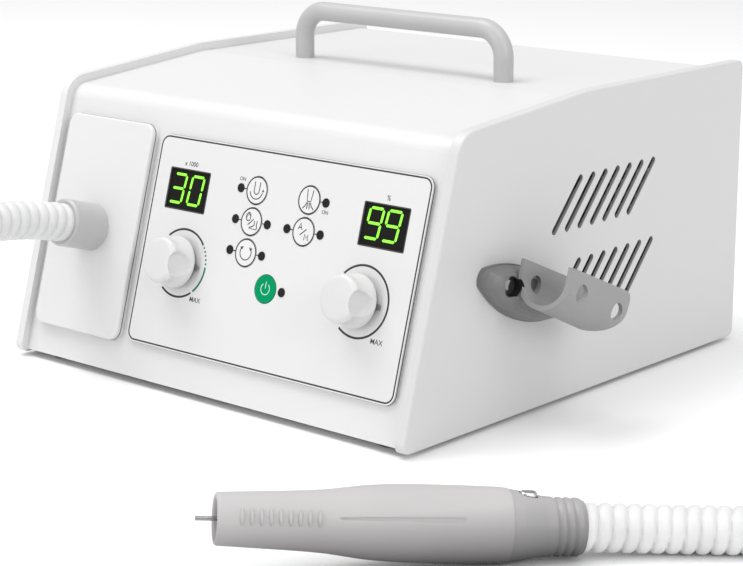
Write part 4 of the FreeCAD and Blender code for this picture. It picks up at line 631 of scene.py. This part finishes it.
def inkWord(name, word, tall, paint, x, s):
    letters = bpy.data.curves.new(name, "FONT")
    letters.body = word
    letters.size = tall / sheet["capital"] * mm
    letters.align_x = "CENTER"
    letters.align_y = "CENTER"
    letters.resolution_u = sheet["letterSteps"]
    letters.extrude = sheet["ink"] / 2 * mm
    letters.offset = sheet["weight"] * mm
    piece = settle(addPiece(name, letters))
    piece.data.materials.clear()
    piece.data.materials.append(paints[paint])
    layOnFront(outwardNormals(piece), x, s, sheet["panelFace"], "unit")


def arcStroke(x, s, radius, first, last, steps=None):
    steps = steps or max(sheet["arcLeast"], int(abs(last - first) / sheet["arcStep"]))
    angles = [math.radians(first + (last - first) * i / steps) for i in range(steps + 1)]
    return [(x + radius * math.cos(a), s + radius * math.sin(a)) for a in angles]


def ringStroke(x, s, radius, steps=72):
    return arcStroke(x, s, radius, 0, 360 - 360 / steps, steps - 1)


def roundedStroke(x, s, wide, tall, radius, steps=9):
    stroke = []
    for side, height, first in ((1, 1, 0), (-1, 1, 90), (-1, -1, 180), (1, -1, 270)):
        stroke += arcStroke(x + side * (wide / 2 - radius), s + height * (tall / 2 - radius),
                            radius, first, first + 90, steps)
    return stroke


keyPanel = {
    "middle": (30.35, 66.6),
    "size": (160.3, 95.6),
    "borderInset": 0.95,
    "borderRadius": 4.1,
    "borderWidth": 0.7,
    "dials": [
        # name, middle, dark arcs, radius
        ("speedScale", (-23.7, 58.2), [(39.5, 133), (233.5, 306.8)], 15.25),
        ("suctionScale", (83.1, 58.3), [(-125.5, 137.5)], 15.3),
    ],
    "dialWidth": 0.95,
    # dark seam lines on the raised edges of the door and the overlay, with painted shadow of the
    # gaps there: name, middle x and s, width, height, corner radius, height over the casing
    "seamShadows": [
        ("doorSeamShadow", -82.7, 67.0, 57.0, 100.5, 5.5, 1.9),
        ("overlaySeamShadow", 30.35, 66.6, 160.3, 95.6, 5.05, 1.1),
    ],
    "seamShadowWidth": 0.3,
    "seamShadowTall": 0.35,
    # first and last angle, and the count of dots
    "greenArc": (-48.2, 1.0),
    "greenDots": (6.4, 34.5, 5),
    "dotRadius": 0.5,
    # short lines between lamps and keys: side, column, row
    "stubWidth": 0.5,
    "stubs": [(-1, 0, 29.5), (-1, 0, 15.7), (1, 0, 15.7), (-1, 0, 1.9), (1, 0, 1.9),
              (1, 1, 29.5), (-1, 1, 15.7), (1, 1, 15.7)],
    "keyColumns": (-16.15, 14.85),
    "stubReach": (6.45, 7.85),
    "words": [
        ("speedUnit", "x 1000", 2.2, (-28.2, 102.5)),
        ("suctionUnit", "%", 2.3, (88.4, 102.7)),
        ("motorOn", "ON", 1.7, (4.6, 100.1)),
        ("suctionOn", "ON", 1.7, (55.1, 92.0)),
        ("speedMost", "MAX", 2.3, (-11.2, 43.2)),
        ("suctionMost", "MAX", 2.3, (95.7, 43.2)),
    ],
}


def printPanel():
    plan = keyPanel
    middleX, middleS = plan["middle"]
    wide, tall = (size - 2 * plan["borderInset"] for size in plan["size"])
    # painted shadow: dark lines along the seams of the door and overlay edges
    for name, x, s, across, up, radius, h in plan["seamShadows"]:
        inkLines(name, [roundedStroke(x, s, across, up, radius)], plan["seamShadowWidth"], "rimGrey",
                 h=h, closed=True, thick=plan["seamShadowTall"])
    inkLines("panelBorder", [roundedStroke(middleX, middleS, wide, tall, plan["borderRadius"])],
             plan["borderWidth"], "printGrey", closed=True)
    for name, (x, s), arcs, radius in plan["dials"]:
        inkLines(name, [arcStroke(x, s, radius, *arc) for arc in arcs], plan["dialWidth"],
                 "printGrey")
    name, (x, s), arcs, radius = plan["dials"][0]
    inkLines("speedGreenArc", [arcStroke(x, s, radius, *plan["greenArc"])], plan["dialWidth"],
             "printGreen")
    first, last, count = plan["greenDots"]
    dots = grow(strokeMesh("speedGreenDots", [arcStroke(x, s, radius, first, last)]), rowTree, {
        "Count": count, "Radius": plan["dotRadius"] * mm, "Sides": sheet["dotSides"],
        "Thickness": sheet["ink"] * mm, "Material": paints["printGreen"]})
    layOnFront(dots, 0, 0, sheet["panelFace"], "unit")
    near, far = plan["stubReach"]
    stubs = []
    for side, column, row in plan["stubs"]:
        x = middleX + plan["keyColumns"][column]
        s = middleS + row
        stubs.append([(x + side * near, s), (x + side * far, s)])
    inkLines("lampStubs", stubs, plan["stubWidth"], "printGrey")
    for name, word, tall, (x, s) in plan["words"]:
        inkWord(name, word, tall, "printGrey", x, s)


# Ring and sign on each key, in mm from the key's middle; each rides its own key

keySigns = {
    "motor": {
        "at": (-16.15, 29.5),
        "lines": [[(-1.65, 3.85), (-1.62, -0.45), (-1.15, -1.3), (-0.1, -1.75), (0.9, -1.3),
                   (1.35, -0.45), (1.5, 3.75)], arcStroke(-0.2, -0.1, 3.7, 190, 352)],
        "shapes": [[(2.95, -0.1), (4.25, -0.35), (3.8, 1.0)]],
    },
    "pedal": {
        "at": (-16.15, 15.7),
        "lines": [[(-1.85, -1.6), (1.25, 1.25)],
                  [(-2.95, 1.5), (-3.65, 2.3), (-3.2, 0.9), (-2.4, 0.25), (-1.3, 0.3),
                   (-0.85, 1.2), (-0.8, 2.9), (-1.15, 3.2), (-1.35, 2.3), (-1.5, 3.75),
                   (-1.85, 3.85), (-2.0, 2.4), (-2.2, 3.95), (-2.6, 3.75), (-2.6, 2.4),
                   (-3.05, 3.2), (-3.3, 2.9), (-2.95, 1.5)],
                  [(2.0, 0.5), (2.0, -1.2), (1.2, -2.0), (-0.55, -2.5), (-0.8, -3.0),
                   (3.6, -3.1), (3.7, -2.4), (3.35, -1.3), (3.5, 0.7)]],
    },
    "direction": {
        "at": (-16.15, 1.9),
        "lines": [arcStroke(-0.05, 0.15, 3.3, 140, 400)],
        "shapes": [[(-3.75, 2.2), (-2.55, 1.1), (-1.7, 2.7)],
                   [(3.65, 2.2), (1.6, 2.7), (2.45, 1.1)]],
    },
    "suction": {
        "at": (14.85, 29.5),
        "lines": [[(-1.7, 4.45), (-1.0, -0.65), (1.0, -0.65), (1.75, 4.45)],
                  [(-1.0, -1.15), (-1.7, -2.6), (-3.0, -3.9)], [(-0.45, -1.1), (-0.75, -3.9)],
                  [(0.45, -1.1), (0.75, -3.9)], [(1.0, -1.15), (1.75, -2.6), (3.2, -3.9)]],
    },
    "auto": {
        "at": (14.85, 15.7),
        "lines": [[(-1.85, -1.6), (1.5, 1.25)], [(-3.2, 0.75), (-2.15, 3.55), (-1.1, 0.75)],
                  [(-2.85, 1.65), (-1.45, 1.65)],
                  [(0.95, -3.5), (0.95, -0.9), (1.95, -2.5), (2.95, -0.9), (2.95, -3.5)]],
    },
}
powerSign = {"at": (-0.95, -11.7), "radius": 2.5, "gap": 36, "bar": (0.2, 3.3), "width": 0.42}
keyRing = {"radius": 5.93, "width": 0.55, "signWidth": 0.48}


def printKeys():
    middleX, middleS = keyPanel["middle"]
    face = sheet["keyFace"]
    for name, sign in keySigns.items():
        x = middleX + sign["at"][0]
        s = middleS + sign["at"][1]
        body = name + "_key_cap"
        inkLines(name + "KeyRing", [ringStroke(0, 0, keyRing["radius"])], keyRing["width"],
                 "printGrey", x, s, face, body, closed=True)
        inkLines(name + "KeySign", sign["lines"], keyRing["signWidth"], "signGrey", x, s, face,
                 body)
        if "shapes" in sign:
            inkShapes(name + "KeyArrow", sign["shapes"], "signGrey", x, s, face, body)
    x = middleX + powerSign["at"][0]
    s = middleS + powerSign["at"][1]
    gap = powerSign["gap"]
    low, high = powerSign["bar"]
    strokes = [arcStroke(0, 0, powerSign["radius"], 90 + gap, 450 - gap), [(0, low), (0, high)]]
    inkLines("powerKeySign", strokes, powerSign["width"], "powerInk", x, s, face,
             "power_key_cap")


# Seven-bar digits in the two windows

digitPlan = {
    # name, middle, value, and each digit's left foot from the window's corner
    "windows": [("speed", (-27.85, 90.7), "30", ((0.95, 2.3), (12.0, 2.3))),
                ("suction", (88.55, 90.7), "99", ((1.3, 2.8), (11.3, 2.8)))],
    "windowSize": (24.8, 18.2),
    "wide": 8.5,
    "tall": 14.0,
    "bar": 1.2,
    "gap": 0.28,
    "slant": 0.105,
    "rimWidth": 0.55,
    "rimTall": 0.54,
    "rimSpread": 0.1,
    "rimRadius": 0.5,
}
litBars = {"3": "abcdg", "0": "abcdef", "9": "abcdfg"}


def barOutline(start, end):
    # a bar between two corners of the digit, with pointed ends
    along = Vector((end[0] - start[0], end[1] - start[1])).normalized()
    across = Vector((-along.y, along.x)) * digitPlan["bar"] / 2
    first = Vector(start) + along * digitPlan["gap"]
    last = Vector(end) - along * digitPlan["gap"]
    shoulder = along * digitPlan["bar"] / 2
    return [first, first + shoulder - across, last - shoulder - across, last,
            last - shoulder + across, first + shoulder + across]


def makeDigits():
    plan = digitPlan
    half = plan["bar"] / 2
    left, right = half, plan["wide"] - half
    low, middle, high = half, plan["tall"] / 2, plan["tall"] - half
    bars = {"a": ((left, high), (right, high)), "b": ((right, middle), (right, high)),
            "c": ((right, low), (right, middle)), "d": ((left, low), (right, low)),
            "e": ((left, low), (left, middle)), "f": ((left, middle), (left, high)),
            "g": ((left, middle), (right, middle))}
    wide, tall = plan["windowSize"]
    for name, (x, s), value, starts in plan["windows"]:
        outlines = []
        for (start, foot), digit in zip(starts, value):
            for bar in litBars[digit]:
                outlines.append([(start + point.x + plan["slant"] * point.y, foot + point.y)
                                 for point in barOutline(*bars[bar])])
        inkShapes(name + "Digits", outlines, "glowInk", x - wide / 2, s - tall / 2,
                  sheet["windowFace"] + sheet["ink"] / 2)
        rim = roundedStroke(x, s, wide + plan["rimSpread"], tall + plan["rimSpread"],
                            plan["rimRadius"])
        inkLines(name + "WindowRim", [rim], plan["rimWidth"], "rimGrey",
                 h=sheet["windowFace"] + plan["rimTall"] / 2, closed=True,
                 thick=plan["rimTall"])


# On and off marks on the mains switch at the rear, which ride its rocker

rockerMarks = {
    # the rocker's pivot and turn at rest, and its two faces that fall in to the middle, in mm;
    # each mark: name, height over the middle, stroke, does it close
    "pivot": (-84.0, 115.5, 99.0),
    "turn": 7.0,
    "middleRise": 5.7,
    "dish": 0.9,
    "half": 9.0,
    "width": 0.5,
    "marks": [("rockerOn", 4.6, [(0, -1.5), (0, 1.5)], False),
              ("rockerOff", -4.6, ringStroke(0, 0, 1.35), True)],
}


def markRocker():
    plan = rockerMarks
    turn = Matrix.Rotation(math.radians(plan["turn"]), 4, "X")
    for name, height, stroke, closed in plan["marks"]:
        lean = math.copysign(math.atan2(plan["dish"], plan["half"]), height)
        rise = plan["middleRise"] + plan["dish"] * abs(height) / plan["half"]
        face = Matrix(((-1, 0, 0, 0), (0, math.sin(lean), math.cos(lean), rise * mm),
                       (0, math.cos(lean), -math.sin(lean), height * mm), (0, 0, 0, 1)))
        piece = inkStrokes(name, [stroke], plan["width"], "keyWhite", closed)
        piece.data.transform(Matrix.Translation(Vector(plan["pivot"]) * mm) @ turn @ face)
        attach(piece, "rocker")


printPanel()
printKeys()
markRocker()
makeDigits()
print("prints, signs and digits ready")


# Turning knobs: a flared body with a finger dish, a short neck under it painted dark grey as
# shade, and a pointer tab

turningKnob = {
    # radius and height over the casing, in mm, from the neck up to the crown
    "profile": [(0, 2.9), (9.0, 2.9), (9.0, 4.3), (10.9, 4.7), (11.6, 5.1), (11.8, 5.8),
                (11.65, 6.6), (11.2, 7.8), (10.6, 9.3), (10.2, 10.8), (10.1, 12.2), (10.2, 13.4),
                (10.35, 14.4), (10.3, 15.3), (9.95, 16.0), (9.3, 16.5), (8.4, 16.75), (5.0, 16.85),
                (0, 16.9)],
    "turns": 96,
    "bore": [(0, 0), (3.1, 0), (3.1, 13.0), (0, 13.0)],
    # the finger dish from its floor outward, the floor's middle, and the turn and tilt of its axis
    "dish": [(0, 0), (4.3, 0.15), (8.6, 5.0), (0, 5.0)],
    "dishAt": (7.2, 12.2),
    "dishTurn": -2,
    "dishTilt": 14,
    # sides of the bore and of the dish, then how finely the carved body is made even and soft
    "sides": (48, 72),
    "voxel": 0.26,
    "softening": (0.5, 14),
    "neck": [(0, 2.3), (9.6, 2.3), (9.6, 4.6), (0, 4.6)],
    "neckCrease": 35,
    "dials": [("speed", (-23.7, 58.25)), ("suction", (83.1, 58.25))],
}
pointerTab = {"reach": 10.75, "radius": 1.3, "root": 8.4, "low": 2.3, "high": 3.1, "turn": -4,
              "steps": 16}


def turnedBody(name, profile, turns, paint):
    # the profile swept round Z, closed at both ends on the axis
    angles = [2 * math.pi * i / turns for i in range(turns)]
    points = [(radius * math.cos(angle) * mm, radius * math.sin(angle) * mm, height * mm)
              for radius, height in profile[1:-1] for angle in angles]
    points += [(0, 0, profile[0][1] * mm), (0, 0, profile[-1][1] * mm)]
    foot, crown = len(points) - 2, len(points) - 1
    rings = len(profile) - 2
    faces = []
    for i in range(turns):
        after = (i + 1) % turns
        for ring in range(rings - 1):
            low, high = ring * turns, (ring + 1) * turns
            faces.append((low + i, low + after, high + after, high + i))
        faces.append((foot, after, i))
        top = (rings - 1) * turns
        faces.append((crown, top + i, top + after))
    return newPiece(name, points, faces, paint)


def carve(piece, cutter):
    cut = piece.modifiers.new("carve", "BOOLEAN")
    cut.operation = "DIFFERENCE"
    cut.solver = "EXACT"
    cut.object = cutter


def makeKnobs():
    plan = turningKnob
    reach, height = plan["dishAt"]
    boreSides, dishSides = plan["sides"]
    turn = Matrix.Rotation(math.radians(plan["dishTurn"]), 4, "Z")
    lie = Matrix.Rotation(math.radians(90 - plan["dishTilt"]), 4, "Y")
    dishPlace = turn @ Matrix.Translation((reach * mm, 0, height * mm)) @ lie
    for name, (x, s) in plan["dials"]:
        knob = turnedBody(name + "Knob", plan["profile"], plan["turns"], "knobPlastic")
        bore = turnedBody("knobBore", plan["bore"], boreSides, "knobPlastic")
        dish = turnedBody("knobDish", plan["dish"], dishSides, "knobPlastic")
        dish.data.transform(dishPlace)
        carve(knob, bore)
        carve(knob, dish)
        even = knob.modifiers.new("even", "REMESH")
        even.mode = "VOXEL"
        even.voxel_size = plan["voxel"] * mm
        even.use_smooth_shade = True
        soften = knob.modifiers.new("soften", "SMOOTH")
        soften.factor, soften.iterations = plan["softening"]
        outwardNormals(settle(knob))
        for cutter in (bore, dish):
            bpy.data.objects.remove(cutter)
        knob.data.materials.clear()
        knob.data.materials.append(paints["knobPlastic"])
        layOnFront(knob, x, s, 0, name + "_dial")
        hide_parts(name + "_knob")
        # painted shade: the neck is dark grey for the shade under the knob's lip
        neck = turnedBody(name + "KnobNeck", plan["neck"], plan["turns"], "neckPaintedShade")
        layOnFront(outwardNormals(neck, plan["neckCrease"]), x, s, 0, name + "_dial")


def makePointers():
    plan = pointerTab
    turn = math.radians(plan["turn"])
    outline = [(plan["root"], plan["radius"]), (plan["root"], -plan["radius"])]
    outline += arcStroke(plan["reach"], 0, plan["radius"], -90, 90, plan["steps"])
    outline = [(a * math.cos(turn) - b * math.sin(turn), a * math.sin(turn) + b * math.cos(turn))
               for a, b in outline]
    for name, (x, s) in turningKnob["dials"]:
        inkShapes(name + "Pointer", [outline], "pointerGrey", x, s,
                  (plan["low"] + plan["high"]) / 2, name + "_dial",
                  thick=plan["high"] - plan["low"])


makeKnobs()
makePointers()
print("knobs ready")


# Blades behind the grille in the rear panel, so that no view goes through the casing

rearGrille = {"middle": (45.0, 66.0), "width": 62.0, "slots": 8, "pitch": 6.0, "slot": 2.6,
              "front": 107.5, "back": 116.5, "frame": 3.0, "lean": 1.2,
              "edge": 0.3, "edgeSteps": 2}


def makeGrilleBlades():
    plan = rearGrille
    middleX, middleZ = plan["middle"]
    half = plan["width"] / 2 + plan["frame"]
    reach = plan["slots"] * plan["pitch"] / 2
    blade = (plan["pitch"] - plan["slot"]) / 2
    boxFaces = ((0, 1, 2, 3), (7, 6, 5, 4), (0, 4, 5, 1), (1, 5, 6, 2), (2, 6, 7, 3),
                (3, 7, 4, 0))
    points = []
    faces = []
    for i in range(plan["slots"] + 1):
        z = middleZ - reach + i * plan["pitch"]
        faces += [tuple(len(points) + corner for corner in face) for face in boxFaces]
        # the front edge of each blade is a little lower than its root
        for y, drop in ((plan["back"], 0), (plan["front"], plan["lean"])):
            for side, rise in ((-1, -blade), (1, -blade), (1, blade), (-1, blade)):
                points.append(((middleX + side * half) * mm, y * mm, (z + rise - drop) * mm))
    piece = newPiece("grilleBlades", points, faces, "ductPlastic", smooth=False)
    soften = piece.modifiers.new("edges", "BEVEL")
    soften.width = plan["edge"] * mm
    soften.segments = plan["edgeSteps"]
    outwardNormals(settle(piece))
    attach(piece, "unit")


makeGrilleBlades()
print("grille blades ready")


# Handpiece sleeve: turned from a smooth outline, with lens-shaped grip ribs and one long
# tapering groove on each side, over its own bore

gripSleeve = {
    "nose": (0.1556, -0.2625, 0.0226),
    "heading": 51.1,
    "dip": 5.1,
    # distance from the nose and radius, in mm
    "outline": [(-0.9, 9.3), (11, 9.8), (22, 10.25), (31, 10.7), (38, 11.25), (44.5, 12.15),
                (51, 13.0), (59, 13.55), (70, 13.8), (86, 13.8), (99.6, 13.6), (101.85, 13.3)],
    # its corners are eased over this distance to each side, by this many samples
    "spread": 2.4,
    "samples": 13,
    "rim": [(-0.9, 9.3), (-1.35, 9.1), (-1.7, 8.7), (-1.8, 8.25), (-1.7, 7.8), (-1.3, 7.45),
            (-0.6, 7.25)],
    "bore": [(2.0, 7.1), (57.0, 7.1), (57.0, 11.45), (101.85, 11.45)],
    # how far the middle line of each side lies over the horizontal, in degrees
    "rise": 24.5,
    # count, first place and pitch
    "ribs": (9, 6.7, 3.33),
    "ribReach": 3.0,
    "ribHalf": 0.75,
    "ribProud": 1.3,
    "groove": (40.6, 84.6),
    "grooveHalf": (0.45, 1.2),
    "grooveDepth": 0.55,
    # the groove's wall in shares of its half width: where it ends, and how wide it is
    "grooveWall": (1.15, 0.45),
    # steps of the mesh: along in mm, round in degrees, finer by the ribs
    "noseRings": 8,
    "fineStep": 0.14,
    "fineMargin": 1.5,
    "coarseStep": 0.7,
    "fineTurn": 0.9,
    "fineReach": 18,
    "coarseTurn": 5.0,
    "crease": 50,
}


def handpieceMatrix():
    heading = math.radians(gripSleeve["heading"])
    dip = math.radians(gripSleeve["dip"])
    along = Vector((math.cos(heading) * math.cos(dip), math.sin(heading) * math.cos(dip),
                    -math.sin(dip)))
    up = (Vector((0, 0, 1)) - along * along.z).normalized()
    side = up.cross(along)
    turn = Matrix((side, up, along)).transposed()
    return Matrix.Translation(gripSleeve["nose"]) @ turn.to_4x4()


def outlineRadius(distance):
    # the outline with its corners eased by an even window along the axis
    spread = gripSleeve["spread"]
    places, radii = zip(*gripSleeve["outline"])
    window = np.linspace(-spread, spread, gripSleeve["samples"])
    eased = np.interp(distance[:, None] + window, places, radii).mean(axis=1)
    edge = np.clip(np.minimum(distance - places[0], places[-1] - distance) / spread, 0, 1)
    return eased * edge + np.interp(distance, places, radii) * (1 - edge)


def sideRelief(distance, across):
    # height over the outline at a distance along and across one side's middle line, in mm
    plan = gripSleeve
    relief = np.zeros_like(distance + across)
    count, first, pitch = plan["ribs"]
    reach = np.clip(1 - (across / plan["ribReach"]) ** 2, 0, 1)
    half = plan["ribHalf"] * reach + tiny
    for i in range(count):
        lens = np.clip(1 - ((distance - first - i * pitch) / half) ** 2, 0, 1)
        relief += plan["ribProud"] * np.sqrt(lens) * np.sqrt(reach)
    start, end = plan["groove"]
    narrow, wide = plan["grooveHalf"]
    share = np.clip((distance - start) / (end - start), 0, 1)
    half = narrow + (wide - narrow) * share
    past = np.maximum(np.maximum(start + narrow - distance, distance - end + wide), 0)
    off = np.sqrt(across ** 2 + past ** 2) / half
    wallEnd, wallWide = plan["grooveWall"]
    relief -= plan["grooveDepth"] * np.clip((wallEnd - off) / wallWide, 0, 1)
    return relief


def makeSleeve():
    plan = gripSleeve
    first = plan["outline"][0][0]
    end = plan["outline"][-1][0]
    count, ribStart, pitch = plan["ribs"]
    fine = np.arange(ribStart - plan["fineMargin"], ribStart + count * pitch, plan["fineStep"])
    coarse = np.arange(fine[-1] + plan["coarseStep"], end, plan["coarseStep"])
    nose = np.linspace(first, fine[0], plan["noseRings"], endpoint=False)
    distance = np.concatenate([nose, fine, coarse, [end]])
    middles = [plan["rise"], 180 - plan["rise"]]
    reach = plan["fineReach"]
    angles = set(np.round(np.arange(0, 360, plan["coarseTurn"]), 3))
    for middle in middles:
        angles = {a for a in angles if abs(a - middle) > reach + 1}
        angles |= set(np.round(np.arange(middle - reach, middle + reach + 0.1,
                                         plan["fineTurn"]), 3))
    angles = np.array(sorted(angles))
    outer = np.repeat(outlineRadius(distance)[:, None], len(angles), axis=1)
    for middle in middles:
        turn = (angles - middle + 180) % 360 - 180
        across = np.radians(turn)[None, :] * outer
        outer = outer + sideRelief(distance[:, None], across)
    inner = np.array(plan["rim"][1:] + plan["bore"])[::-1]
    places = np.concatenate([distance, inner[:, 0]])[:, None]
    radii = np.concatenate([outer, np.repeat(inner[:, 1:], len(angles), axis=1)])
    turns = np.radians(angles)
    points = np.stack([radii * np.cos(turns), radii * np.sin(turns),
                       np.broadcast_to(places, radii.shape)], axis=2).reshape(-1, 3)
    rows, columns = radii.shape
    faces = []
    for row in range(rows):
        low, high = row * columns, (row + 1) % rows * columns
        for column in range(columns):
            beside = (column + 1) % columns
            faces.append((low + column, low + beside, high + beside, high + column))
    sleeve = newPiece("gripSleeve", points * mm, faces, "handpieceShell")
    # painted shade: the bore's faces take the dark bore colour, the outside and the nose rim take
    # the shell's
    sleeve.data.materials.append(paints["sleeveBoreShade"])
    outerFaces = (len(distance) - 1) * columns
    rimFaces = len(plan["rim"]) * columns
    shades = np.ones(len(faces), dtype=int)
    shades[:outerFaces] = 0
    shades[-rimFaces:] = 0
    sleeve.data.polygons.foreach_set("material_index", shades)
    sleeve.data.transform(handpieceMatrix())
    outwardNormals(sleeve, plan["crease"])
    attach(sleeve, "unit")
    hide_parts("handpiece_sleeve")
    return sleeve


sleeve = makeSleeve()
print("handpiece sleeve ready:", len(sleeve.data.polygons), "faces")


# Finishes of the pieces that keep their CAD shape

nodeFinish = {
    "casingPaint": ["housing_shell", "left_side_panel", "rear_panel", "bag_cover"],
    # painted shade: the right side panel takes the darker copy of the casing paint
    "slottedSidePaintedShade": ["right_side_panel"],
    "platedSteel": ["base_plate", "blower_mounts"],
    "turnedSteel": ["base_screws", "rear_screws", "handle_screws", "blower_motor", "speed_shaft",
                    "speed_control", "suction_shaft", "suction_control", "pedal_socket",
                    "drill_spindle", "motor_can", "motor_rotor", "spindle_bearings"],
    "softRubber": ["rubber_feet"],
    "barCoat": ["carry_handle"],
    "holderPlastic": ["handpiece_holder"],
    "blackPlastic": ["holder_screws", "key_switches", "mains_inlet", "fuse_drawer",
                     "switch_frame", "switch_rocker"],
    "boardLacquer": ["power_supply", "control_board"],
    "collarPlastic": ["hose_collar"],
    "ductPlastic": ["bag_chamber", "suction_duct", "blower_housing", "blower_fan"],
    "bagPaper": ["dust_bag"],
    "pleatPaper": ["motor_filter"],
    "filmWhite": ["keypad_overlay"],
    "windowGlass": ["speed_display", "suction_display"],
    "lensDark": ["indicator_lights"],
    "keyWhite": ["motor_key", "pedal_key", "direction_key", "suction_key", "auto_key"],
    "keyGreen": ["power_key"],
    "brightBrass": ["board_standoffs", "inlet_blades"],
    "insertPlastic": ["nose_insert"],
    "pinSteel": ["grinding_mandrel"],
    "tailShell": ["tail_housing"],
    "releaseSteel": ["release_button"],
}


def finishNodes():
    for paint, names in nodeFinish.items():
        for name in names:
            slots = cadNodes[name].material_slots
            if not slots:
                cadNodes[name].data.materials.append(paints[paint])
            for slot in slots:
                slot.material = paints[paint]


finishNodes()
print("CAD pieces finished")
